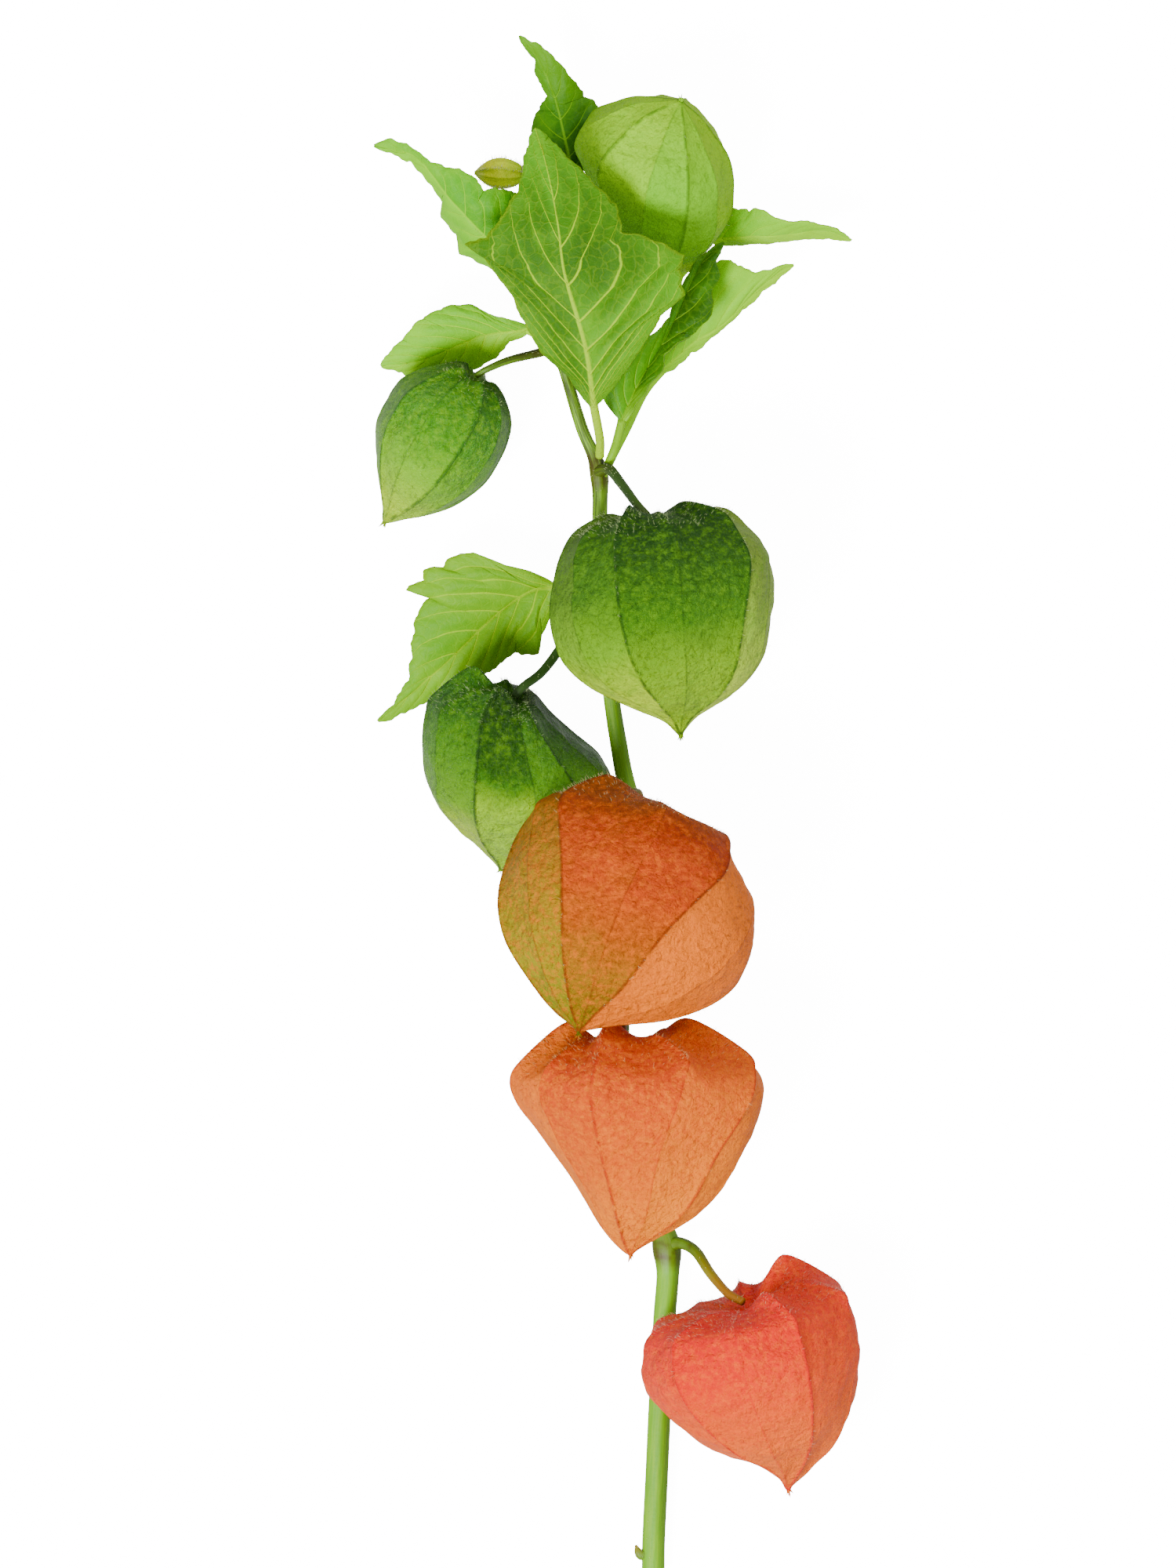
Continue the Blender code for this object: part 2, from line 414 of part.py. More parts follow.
def add_leaf(name, leaf):
    """A leaf in one piece: round stalk, then a blade with an upper and a lower face cut alike."""
    rows, shares = blade_rows(leaf)
    normal = blade_normals(rows)
    near_rib = 1 - np.minimum(np.abs(np.array(ACROSS)) / VEIN_SPREAD, 1)
    thick = BLADE + (VEIN - BLADE) * (1 - shares)[:, None] * near_rib[None, :]
    upper = rows + normal * BLADE / 2
    lower = rows - normal * (thick - BLADE / 2)[..., None]
    stalk_upper, stalk_lower = stalk_rings(leaf, unit(rows[0, -1] - rows[0, 0]))
    upper = np.concatenate([stalk_upper, upper])
    lower = np.concatenate([stalk_lower, lower])
    upper[..., 2] = np.maximum(upper[..., 2], BLADE)
    lower[..., 2] = np.maximum(lower[..., 2], 0)

    rings, wide = upper.shape[:2]
    under = rings * wide
    faces = []
    for j in range(rings - 1):
        for k in range(wide - 1):
            a, b = j * wide + k, j * wide + k + 1
            c, d = b + wide, a + wide
            for shift in (0, under):
                if k < wide // 2:
                    faces += [(a + shift, b + shift, d + shift), (b + shift, c + shift, d + shift)]
                else:
                    faces += [(a + shift, b + shift, c + shift), (a + shift, c + shift, d + shift)]
        for k in (0, wide - 1):
            a, d = j * wide + k, (j + 1) * wide + k
            faces += [(a, d, d + under), (a, d + under, a + under)]
    for j in (0, rings - 1):
        foot = [j * wide + k for k in range(wide)]
        faces.append(tuple(foot + [under + v for v in reversed(foot)]))
    points = np.concatenate([upper.reshape(-1, 3), lower.reshape(-1, 3)])
    return add_object(name, points, faces, leaf["colour"])


def add_stem():
    """The stem with its swollen nodes, the husks' stalks and the side bud, united in one solid."""
    points = smooth_curve(STEM, np.linspace(0, 1, STEM_RINGS))
    radii = np.interp(points[:, 1], *zip(*STEM_RADII))
    for node in NODES:
        radii *= 1 + NODE_SWELL * np.exp(-((points[:, 1] - node) / NODE_LENGTH) ** 2)
    verts, faces = tube(points, radii, STEM_SIDES)
    stem = add_object("stem", verts, faces, STEM_COLOUR)
    shoots = bpy.data.collections.new("stalks")
    bpy.context.scene.collection.children.link(shoots)
    for k, (route, root, end) in enumerate(STALKS):
        count = 2 * len(route)
        taper = np.linspace(root, end, count)
        verts, faces = tube(smooth_curve(route, np.linspace(0, 1, count)), taper, STALK_SIDES)
        stalk = add_object(f"stalk_{k}", verts, faces, STEM_COLOUR)
        bpy.context.scene.collection.objects.unlink(stalk)
        shoots.objects.link(stalk)
    points = smooth_curve(SIDE_BUD, np.linspace(0, 1, len(SIDE_BUD_RADII)))
    verts, faces = tube(points, SIDE_BUD_RADII, STALK_SIDES)
    bud = add_object("side_bud", verts, faces, STEM_COLOUR)
    bpy.context.scene.collection.objects.unlink(bud)
    shoots.objects.link(bud)
    union = stem.modifiers.new("grown together", "BOOLEAN")
    union.operation = "UNION"
    union.operand_type = "COLLECTION"
    union.collection = shoots
    union.solver = "EXACT"
    grown = bpy.data.meshes.new_from_object(stem.evaluated_get(bpy.context.evaluated_depsgraph_get()))
    stem.modifiers.clear()
    stem.data = grown
    for shoot in list(shoots.objects):
        bpy.data.objects.remove(shoot)
    bpy.data.collections.remove(shoots)


for old in list(bpy.data.objects):
    bpy.data.objects.remove(old)
add_stem()
for husk_name, husk_sizes in HUSKS.items():
    add_husk(husk_name, husk_sizes)
for leaf_name, leaf_sizes in LEAVES.items():
    add_leaf(leaf_name, leaf_sizes)
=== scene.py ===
import math
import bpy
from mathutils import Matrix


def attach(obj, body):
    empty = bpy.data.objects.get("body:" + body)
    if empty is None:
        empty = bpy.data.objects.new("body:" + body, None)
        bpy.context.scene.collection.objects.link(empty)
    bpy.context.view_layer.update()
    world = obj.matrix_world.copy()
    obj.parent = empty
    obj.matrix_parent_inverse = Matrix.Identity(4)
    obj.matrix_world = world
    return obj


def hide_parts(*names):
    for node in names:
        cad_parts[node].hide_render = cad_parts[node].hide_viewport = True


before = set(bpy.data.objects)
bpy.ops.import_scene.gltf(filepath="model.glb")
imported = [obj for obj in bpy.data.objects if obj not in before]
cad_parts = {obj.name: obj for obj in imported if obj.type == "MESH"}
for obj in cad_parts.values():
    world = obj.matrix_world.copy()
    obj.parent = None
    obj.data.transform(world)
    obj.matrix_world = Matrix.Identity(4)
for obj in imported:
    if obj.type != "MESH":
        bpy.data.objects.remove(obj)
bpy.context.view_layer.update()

from types import SimpleNamespace

import bmesh
import bpy
import numpy as np
from mathutils import Vector, noise

# Camera. The stem lies flat on its side, so the camera hangs straight above it, with the growing tip at
# the top of the picture. At the height of the stem the picture takes in 225 by 300 mm.
MM = 0.001


def put(name, data):
    """Puts a camera, light or mesh in the scene."""
    thing = bpy.data.objects.new(name, data)
    bpy.context.scene.collection.objects.link(thing)
    return thing


camera = put("camera", bpy.data.cameras.new("camera"))
camera.location = (-5.25 * MM, 3.75 * MM, 4018 * MM)
camera.data.sensor_width = 36
camera.data.lens = 480
camera.data.clip_end = 30
bpy.context.scene.camera = camera


# Table and light. An opal sheet lit from under it, so bright that it shows as plain white, and soft white
# light from all round. The sheet is kept from lighting what lies on it, which would drown its colours. A
# soft box by the cut end lights the husks from below, so that their crowns stay deep, and a smaller one
# beyond the tip gives the waxy skins their highlights.
PIGMENT, DEPTH_OF_COLOUR, PURITY = 0.73, 1.31, 1.3


def paint(red, green, blue):
    """The pigment that looks like a colour from 0 to 255 in this light: it is deeper and purer."""
    seen = [max(c / 255 * 0.948 + 0.052, 0) ** 2.4 for c in (red, green, blue)]
    grey = 0.3 * seen[0] + 0.6 * seen[1] + 0.1 * seen[2]
    return (*(PIGMENT * max(grey + (c - grey) * PURITY, 0.0008) ** DEPTH_OF_COLOUR for c in seen), 1.0)


opal = bpy.data.materials.new("opal_sheet")
opal.use_nodes = True
opal_shader = opal.node_tree.nodes["Principled BSDF"].inputs
opal_shader["Base Color"].default_value = (0.86, 0.86, 0.86, 1)
opal_shader["Roughness"].default_value = 0.9
opal_shader["Emission Color"].default_value = (1, 1, 1, 1)
opal_shader["Emission Strength"].default_value = 14.0
TABLE_HALF, TABLE_HEIGHT = 12.0, -0.3 * MM
corners = [(x * TABLE_HALF, y * TABLE_HALF, TABLE_HEIGHT) for x, y in ((-1, -1), (1, -1), (1, 1), (-1, 1))]
sheet = bpy.data.meshes.new("table")
sheet.from_pydata(corners, [], [(0, 1, 2, 3)])
sheet.materials.append(opal)
table = put("table", sheet)
for ray in ("diffuse", "glossy", "transmission"):
    setattr(table, "visible_" + ray, False)

BOXES = (("soft_box", (-0.6, -0.7, 1.2), 0.5, 66.0), ("fill_box", (0.9, 0.8, 1.2), 0.4, 24.0))
for name, place, size, power in BOXES:
    lamp = bpy.data.lights.new(name, "AREA")
    lamp.size = size
    lamp.energy = power
    holder = put(name, lamp)
    holder.location = place
    holder.rotation_euler = (-Vector(place)).to_track_quat("-Z", "Y").to_euler()
world = bpy.data.worlds.new("room")
world.use_nodes = True
air = world.node_tree.nodes["Background"].inputs
air["Color"].default_value = (1, 1, 1, 1)
air["Strength"].default_value = 1.0
bpy.context.scene.world = world


# Stem. One cut green stem, slightly zigzag, swollen where each leaf and husk stands out, with a thin stalk
# to every husk and a small side bud by the cut end. It is drawn here finer than the solid that it replaces,
# with low ribs along it, streaks, warm brown nodes and a velvet of short hairs further on.
class Shade:
    """A value, colour or direction that changes over a surface, so that it can be written in sums."""

    def __init__(self, tree, kind, sockets, output=0, stops=(), **settings):
        node = tree.nodes.new("ShaderNode" + kind)
        for name, value in settings.items():
            setattr(node, name, value)
        if stops:
            elements = node.color_ramp.elements
            elements[0].position, elements[0].color = stops[0]
            elements[1].position, elements[1].color = stops[-1]
            for place, colour in stops[1:-1]:
                elements.new(place).color = colour
        for name, value in sockets.items():
            if isinstance(value, Shade):
                tree.links.new(value.socket, node.inputs[name])
            else:
                node.inputs[name].default_value = value
        self.tree = tree
        self.socket = node.outputs[output]

    def math(self, operation, first, second=0.0):
        return Shade(self.tree, "Math", {0: first, 1: second}, operation=operation)

    def __add__(self, other):
        return self.math("ADD", self, other)

    def __sub__(self, other):
        return self.math("SUBTRACT", self, other)

    def __rsub__(self, other):
        return self.math("SUBTRACT", other, self)

    def __mul__(self, other):
        return self.math("MULTIPLY", self, other)

    def __truediv__(self, other):
        return self.math("DIVIDE", self, other)

    __radd__ = __add__
    __rmul__ = __mul__

    def rise(self, low, high):
        """0 under low, 1 over high, and smooth between; falls if low is the larger."""
        limits = {"Value": self, "From Min": low, "From Max": high}
        return Shade(self.tree, "MapRange", limits, interpolation_type="SMOOTHSTEP")

    def ramp(self, scale):
        """The colour that this value has on a scale of places from 0 to 1, each with its colour."""
        stops = [(place, paint(*colour)) for place, *colour in scale]
        return Shade(self.tree, "ValToRGB", {"Fac": self}, stops=stops)

    def between(self, none, full):
        """A colour mixed by this value: none at 0, full at 1."""
        return Shade(self.tree, "Mix", {0: self, 6: none, 7: full}, 2, data_type="RGBA")


class Finish:
    """A material of a growing thing: a soft surface that lets some light through, and its marks."""

    def __init__(self, name, sheer, glow):
        self.made = bpy.data.materials.new(name)
        self.made.use_nodes = True
        self.tree = self.made.node_tree
        self.shader = self.tree.nodes["Principled BSDF"]
        self.through = self.tree.nodes.new("ShaderNodeBsdfTranslucent")
        self.through.inputs["Color"].default_value = paint(*glow)
        joined = self.tree.nodes.new("ShaderNodeMixShader")
        joined.inputs["Fac"].default_value = sheer
        self.link = self.tree.links.new
        self.link(self.shader.outputs[0], joined.inputs[1])
        self.link(self.through.outputs[0], joined.inputs[2])
        self.link(joined.outputs[0], self.tree.nodes["Material Output"].inputs["Surface"])

    def mark(self, name):
        """A number kept on the mesh, such as how far a point is from a rib."""
        return Shade(self.tree, "Attribute", {}, "Fac", attribute_name=name)

    def place(self):
        """Where a point is, in metres."""
        return Shade(self.tree, "TexCoord", {}, "Object")

    def cloud(self, size, detail=3.0, blur=0.55):
        """Soft uneven patches of about a size in mm, from 0 to 1."""
        sockets = {"Vector": self.place(), "Scale": 1 / (size * MM), "Detail": detail, "Roughness": blur}
        return Shade(self.tree, "TexNoise", sockets)

    def net(self, size, where):
        """Distance from the nearest line of a fine net whose meshes are about a size in mm."""
        sockets = {"Vector": where, "Scale": 1 / (size * MM)}
        return Shade(self.tree, "TexVoronoi", sockets, feature="DISTANCE_TO_EDGE")

    def bent_place(self, size, strength):
        """The place of a point, pushed about at random by a few mm, so that lines drawn there wander."""
        where = {"Vector": self.place(), "Scale": 1 / (size * MM), "Detail": 2.0}
        push = {0: Shade(self.tree, "TexNoise", where, "Color"), "Scale": strength * MM}
        both = {0: self.place(), 1: Shade(self.tree, "VectorMath", push, operation="SCALE")}
        return Shade(self.tree, "VectorMath", both, operation="ADD")

    def lay(self, colour, share):
        """Lays a colour over those below it, as far as the share says: not at all at 0, fully at 1."""
        self.colour = share.between(self.colour, paint(*colour))

    def cover(self, roughness, height, depth, shine):
        """Gives the surface its colour, roughness, shine, and relief of a depth in mm."""
        self.link(self.colour.socket, self.shader.inputs["Base Color"])
        self.link(roughness.socket, self.shader.inputs["Roughness"])
        bump = Shade(self.tree, "Bump", {"Height": height, "Distance": depth * MM, "Strength": 1.0})
        self.link(bump.socket, self.shader.inputs["Normal"])
        self.link(bump.socket, self.through.inputs["Normal"])
        self.shader.inputs["Specular IOR Level"].default_value = shine
        return self.made


LOWEST = 0.02          # no point of a piece lies lower than this, in mm


def add_piece(name, node, points, faces, finish, marks):
    """Puts a mesh in the scene as a piece that stands for a node of the same growing thing."""
    mesh = bpy.data.meshes.new(name)
    places = np.array(points, float)
    places[:, 2] = np.maximum(places[:, 2], LOWEST)
    mesh.from_pydata((places * MM).tolist(), [], faces)
    for mark, values in marks.items():
        mesh.attributes.new(mark, "FLOAT", "POINT").data.foreach_set("value", np.asarray(values, np.float32))
    shape = bmesh.new()
    shape.from_mesh(mesh)
    bmesh.ops.recalc_face_normals(shape, faces=shape.faces)
    shape.to_mesh(mesh)
    shape.free()
    mesh.shade_smooth()
    mesh.materials.append(finish)
    piece = put(name, mesh)
    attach(piece, "root")
    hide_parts(node)


def unit(v):
    return v / np.linalg.norm(v, axis=-1, keepdims=True)


def reached(points):
    """How far along a run each of its points is."""
    return np.concatenate([[0], np.cumsum(np.linalg.norm(np.diff(points, axis=0), axis=1))])


def on_curve(points, place):
    """Points of a smooth curve through all those of a list, at places counted in points of the list."""
    p = np.concatenate([[2 * points[0] - points[1]], points, [2 * points[-1] - points[-2]]])
    cell = np.minimum(place.astype(int), len(points) - 2)
    t = (place - cell).reshape(-1, *[1] * (p.ndim - 1))
    a, b, c, d = (p[cell + k] for k in range(4))
    bend, twist = 2 * a - 5 * b + 4 * c - d, 3 * b - a - 3 * c + d
    return 0.5 * (2 * b + (c - a) * t + bend * t ** 2 + twist * t ** 3)


def smooth_curve(points, shares):
    """Points at the given shares of a smooth curve's length, through all the points of a list."""
    dense = on_curve(np.array(points, float), np.arange(8 * len(points) - 7) / 8)
    run = reached(dense)
    return np.column_stack([np.interp(np.array(shares) * run[-1], run, dense[:, k]) for k in range(3)])


def rings_along(points, radii, sides, ribbed=0.0):
    """Rings of points square to a run, low ribs included; also how far round and how far along each is."""
    along = unit(np.gradient(points, axis=0))
    turns = np.linspace(0, 2 * math.pi, sides, endpoint=False)
    across = unit(np.cross(along[0], (0, 0, 1)))
    rings = []
    for centre, run, radius in zip(points, along, radii):
        across = unit(across - run * across.dot(run))
        over = np.cross(across, run)
        out = np.cos(turns)[:, None] * across + np.sin(turns)[:, None] * over
        rings.append(centre + (radius * (1 + ribbed * np.cos(5 * turns)))[:, None] * out)
    return np.array(rings), np.tile(turns, len(points)), np.repeat(reached(points), sides)


def ring_faces(rings, sides, first=0):
    """Faces of a closed tube whose points are numbered from first."""
    ring = [range(first + j * sides, first + (j + 1) * sides) for j in range(rings)]
    faces = [(a[k], a[(k + 1) % sides], b[(k + 1) % sides], b[k])
             for a, b in zip(ring, ring[1:]) for k in range(sides)]
    return faces + [tuple(ring[0]), tuple(ring[-1])]


def add_down(points, faces, roots, outward, draw, length, radius):
    """Adds short bent hairs, each a three-sided cone of points, standing out from the roots."""
    toward = unit(outward + draw.normal(0, 0.35, roots.shape))
    droop = unit(toward + draw.normal(0, 0.5, roots.shape))
    long = length * draw.uniform(0.5, 1.2, len(roots))[:, None]
    side = unit(np.cross(toward, draw.normal(0, 1, roots.shape)))
    over = np.cross(toward, side)
    for root, run, bend, size, a, b in zip(roots, toward, droop, long, side, over):
        first = len(points)
        for height, thick in ((-0.15, radius), (0.5, radius * 0.7)):
            centre = root + run * size * height
            for turn in (0.0, 2.09, 4.19):
                points.append((centre + thick * (math.cos(turn) * a + math.sin(turn) * b)).tolist())
        points.append((root + run * size * 0.5 + bend * size * 0.5).tolist())
        faces.append((first, first + 1, first + 2))
        for k in range(3):
            after = (k + 1) % 3
            faces.append((first + k, first + after, first + after + 3, first + k + 3))
            faces.append((first + 3 + k, first + 3 + after, first + 6))
    return 7 * len(roots)


def mark_more(marks, count, **values):
    """Gives more points their marks: these values, and 0 for the other marks."""
    for name, kept in marks.items():
        kept += [values.get(name, 0.0)] * count


STEM = ((7.2, -147.4, 2.6), (7.3, -141, 2.7), (7.9, -128.2, 3), (8.5, -114.8, 3.3), (9.3, -99.8, 3.7),
        (9.8, -85.5, 4.2), (5.5, -71.2, 5.2), (1.8, -56.2, 6.2), (0, -43, 7.2), (0.8, -29.2, 8.2),
        (2, -14.2, 9.2), (2.6, -0.8, 10), (1.1, 8.2, 10.4), (-0.7, 19.5, 10.8), (-1.9, 30.8, 11.2),
        (-2.7, 42, 11.5), (-3, 53.2, 12), (-3.3, 63.8, 12.5), (-6.5, 72, 13), (-9.4, 81.8, 13.5),
        (-10.9, 87.8, 14), (-10.7, 98.2, 14.6), (-8.5, 107.2, 15), (-6.8, 113, 15))
STEM_RADII = ((-147, 2.2), (-90, 2.15), (-40, 2), (0, 1.75), (20, 1.55), (62, 1.45), (66, 1.2), (113, 0.95))
NODES = (-85.5, -43, -0.8, 42, 63.8, 87.8, 113)
NODE_SWELL = 0.3       # added to the radius at a node, as a share
NODE_LENGTH = 3.0      # how far the swelling reaches along the stem
STALKS = (
    (((9.8, -85.6, 4.5), (12.2, -84.3, 6.5), (15.4, -85.9, 9), (18.2, -90, 13.5), (21.4, -93.6, 18.2),
      (24.4, -95.3, 20.3)), 1.15, 0.8),
    (((0, -43, 7.5), (0.2, -40.6, 12), (0.5, -39.6, 18), (0.9, -40.2, 24), (1.3, -42.8, 28),
      (1.5, -46.9, 28.6)), 1.1, 0.8),
    (((2.6, -0.4, 10), (3.2, 1.2, 16), (3.8, 2, 23), (4.5, 1.6, 29.5), (4.7, -0.8, 33)), 1.1, 0.8),
    (((-2.7, 42, 11.5), (-6.8, 35.2, 12.6), (-10.9, 29.2, 14.5), (-14.2, 25, 17.8), (-17.6, 22.4, 20.6),
      (-19.3, 20.4, 20.6)), 1.05, 0.8),
    (((-3.3, 63.5, 13), (-1.2, 64, 16.5), (1.4, 60.8, 23), (4, 57.2, 29.5), (6, 55, 31.2)), 1.05, 0.8),
    (((-10.9, 87.6, 14), (-14.2, 86.4, 14.5), (-20.2, 84.9, 16), (-24.4, 83.2, 16.6),
      (-26.6, 82, 15.6)), 0.95, 0.6),
    (((-10.8, 96, 14.5), (-7, 96.6, 11), (-2, 97.6, 6.6), (3, 99.6, 3.6), (5.2, 102.4, 4.3),
      (5.7, 104.3, 5.5)), 0.9, 0.65),
    (((-6.8, 113, 15), (-10, 117.1, 15), (-13.5, 119.8, 15), (-16.9, 120.4, 15)), 0.75, 0.5),
)
SIDE_BUD = ((7.2, -143.5, 2.6), (4.9, -144.2, 3.4), (3.9, -142.4, 4))
SIDE_BUD_RADII = (1.1, 1.3, 1.1, 0.7, 0.2)
STEM_SIDES, STALK_SIDES = 30, 16
STEM_RIBBED, STALK_RIBBED, BUD_RIBBED = 0.035, 0.03, 0.05
STEM_DOWN = 0.05       # hairs for each point of the stalks and of the upper stem
DOWN_LENGTH, DOWN_RADIUS = 0.55, 0.035
# How dark and how brown each husk's stalk is, in the order of the list of stalks, and the bud.
STALK_DARK = (0.3, 0.6, 0.75, 1.0, 0.9, 0.35, 0.2, 0.1)
STALK_BROWN = (1.0, 0.9, 0.6, 0.25, 0.3, 0.0, 0.0, 0.0)
BUD_DARK, BUD_BROWN = 0.5, 0.6

middle = smooth_curve(STEM, np.linspace(0, 1, 420))
thick = np.interp(middle[:, 1], *zip(*STEM_RADII))
for node_y in NODES:
    thick *= 1 + NODE_SWELL * np.exp(-((middle[:, 1] - node_y) / NODE_LENGTH) ** 2)
shoots = [(middle, thick, STEM_SIDES, STEM_RIBBED, 0.0, 0.0)]
steps = np.linspace(0, 1, 70)
for (route, root, end), dark, brown in zip(STALKS, STALK_DARK, STALK_BROWN):
    taper = np.linspace(root, end, len(steps)) * (1 + 0.2 * np.exp(-(steps / 0.12) ** 2))
    shoots.append((smooth_curve(route, steps), taper, STALK_SIDES, STALK_RIBBED, dark, brown))
steps = np.linspace(0, 1, 24)
bud_thick = np.interp(steps, np.linspace(0, 1, len(SIDE_BUD_RADII)), SIDE_BUD_RADII)
shoots.append((smooth_curve(SIDE_BUD, steps), bud_thick, STALK_SIDES, BUD_RIBBED, BUD_DARK, BUD_BROWN))

points, faces, hair_roots = [], [], []
marks = {"dark": [], "brown": [], "turn": [], "run": [], "hair": []}
hairs = np.random.default_rng(5)
for run, thickness, sides, ribbed, dark, brown in shoots:
    rings, turns, far = rings_along(run, thickness, sides, ribbed)
    faces += ring_faces(len(run), sides, len(points))
    points += rings.reshape(-1, 3).tolist()
    share = far / far[-1]
    drawn = (dark * np.clip(share * 3, 0.3, 1), brown * share, turns, far, 0 * far)
    for kept, values in zip(marks.values(), drawn):
        kept += values.tolist()
    outward = unit((rings - run[:, None]).reshape(-1, 3))
    velvety = np.clip((run[:, 1] + 40) / 60, 0.15, 1) if sides == STEM_SIDES else np.ones(len(run))
    picked = np.nonzero(hairs.uniform(0, 1, len(far)) < STEM_DOWN * np.repeat(velvety, sides))[0]
    hair_roots.append((rings.reshape(-1, 3)[picked], outward[picked]))
for roots, outward in hair_roots:
    mark_more(marks, add_down(points, faces, roots, outward, hairs, DOWN_LENGTH, DOWN_RADIUS), hair=1.0)

green = Finish("stem_green", 0.12, (150, 200, 70))
y = Shade(green.tree, "SeparateXYZ", {0: green.place()}, "Y") * 1000
streak_at = Shade(green.tree, "CombineXYZ", {"X": green.mark("turn") * 1.5, "Y": green.mark("run") * 0.05})
streaks = Shade(green.tree, "TexNoise", {"Vector": streak_at, "Scale": 3.0, "Detail": 4.0})
green.colour = ((y + 150) / 300).ramp(((0, 128, 168, 62), (0.2, 132, 172, 66), (0.55, 124, 160, 62),
                                       (0.7, 84, 102, 36), (0.85, 82, 94, 40)))
near_node = sum(((y - node_y) * (y - node_y)).rise(24.0, 0.0) for node_y in NODES)
green.lay((146, 180, 80), streaks.rise(0.35, 0.7))
green.lay((84, 66, 6), near_node * (green.cloud(5.0).rise(0.45, 0.7) * 0.4 + 0.55))
green.lay((74, 98, 58), green.mark("dark"))
green.lay((168, 110, 42), green.mark("brown").rise(0.2, 0.9) * 0.8)
green.lay((222, 230, 190), green.mark("hair"))
roughness, height = streaks * 0.2 + 0.38, streaks * 0.7 + green.cloud(0.8) * 0.3
add_piece("stem_green", "stem", points, faces, green.cover(roughness, height, 0.12, 0.2), marks)


# Husks. Eight papery husks, each grown in one piece round a berry that is not seen: blown up like a lantern,
# with five strong ribs and five weak ones that run from the stalk's hollow over a crest to a beak of five
# small teeth. They ripen from lime and green at the tip of the stem to orange and red at the cut end.
RIBS = 10
STATIONS = (0.0, 0.1, 0.22, 0.35, 0.48, 0.6, 0.72, 0.83, 0.92, 0.98)
RECESS = ((-0.1, 0.03), (0.25, 0.16), (0.75, 0.34), (1.0, 0.56))
WEAK_CREST = 0.5       # the crest sinks to this share of its height at a weak rib
WEAK_REACH = 0.97      # and a weak rib stands out less than a strong one
PANEL_BULGE, PANEL_HOLLOW, WIDEST, HOLLOW_POWER = 0.04, 0.32, 0.38, 1.6
RECESS_HOLLOW = -0.1   # a panel is hollow between the ribs inside the crest
BEAK_RADIUS = 0.45     # of the blunt point
HUSK_ROWS, PANEL_COLUMNS = 170, 14
FAN_TRUE, FAN_END = 0.4, 0.75       # stations where the ribs are as given, and where they stop closing in
CREST_DOWN, RIB_DOWN = 0.3, 0.06    # hairs for each point of the skin at the crest and along a rib
HAIR_LENGTH, HAIR_RADIUS = 1.0, 0.045
SKIN_MARKS = ("along", "strong", "weak", "tone", "pale", "inside", "hair")
NO_RIB = {"strong": 3.0, "weak": 3.0}    # how far teeth and hairs are from any rib, in mm

# Each husk, in mm. base, tip: foot of its stalk and beak; crown: how far its crest stands past the base at
# the left and the right; deep: depth for its width; left, right: half widths at the stations; ribs: bearings
# of those seen; fan: degrees by which the left and the right ones close in; nod: how much the far crest
# stands above the near one; lift: how much both stand higher; drop: how far the far left one sinks;
# scallop, dented: how far the crest sinks between ribs, and how uneven the skin is. face, flank: colours from
# crown to beak, the husk's own colour with painted shade, deeper at the crown and lighter towards the beak;
# tones: how far each panel is from face to flank, so that panels differ in colour and in painted light and
# shade; blotchy, patchy: how unevenly; pales: how far each is painted pale, as if lit through from
# behind; cap: how far down from the stalk all are pale; pale: colour of the painted backlight and of the
# cap; down: colour of the hairs; glow: of the light that comes through; vein, mottle: of the ribs and dark
# flecks, and of the light ones.
USUAL_HUSK = dict(
    weak_first=True, nod=0, lift=0, drop=0, cap=0, relief=0.6, blotchy=0.4, patchy=0.16, shine=0.15)
HUSKS = {}
HUSKS["lantern_lime"] = dict(
    base=(6, 105.5, 6.2), tip=(12.5, 134.3, 24.2), crown=(0.08, 0.08), deep=0.95,
    left=(8, 10, 11.2, 13, 15.4, 17.8, 17, 13, 9, 3),
    right=(9.5, 11.2, 13, 14, 13.5, 12.6, 10.7, 7.2, 4.2, 1.2),
    ribs=(-5, 30, 64, 98, 132, 172), weak_first=False, fan=(5, 5), nod=0.13, lift=-0.03, scallop=0.6,
    dented=0.6, hairy=0.3, cap=0.11, blotchy=0.15, patchy=0.12,
    face=((0, 150, 206, 16), (0.35, 160, 216, 16), (0.65, 168, 222, 24), (1, 190, 230, 70)),
    flank=((0, 140, 196, 10), (0.35, 164, 218, 16), (0.6, 196, 240, 60), (1, 200, 236, 80)),
    tones=(0.1, 0, 0, 1, 1, 0.8, 0.6, 0.5, 0.3, 0.2), pales=(0.6, 0.1, 0, 0, 0.05, 0.2, 0.8, 0.8, 0.8, 0.8),
    vein=(105, 145, 24), mottle=(168, 216, 36), down=(226, 236, 190), pale=(200, 226, 110),
    glow=(200, 230, 50), sheer=0.42, rough=0.5, relief=0.3)
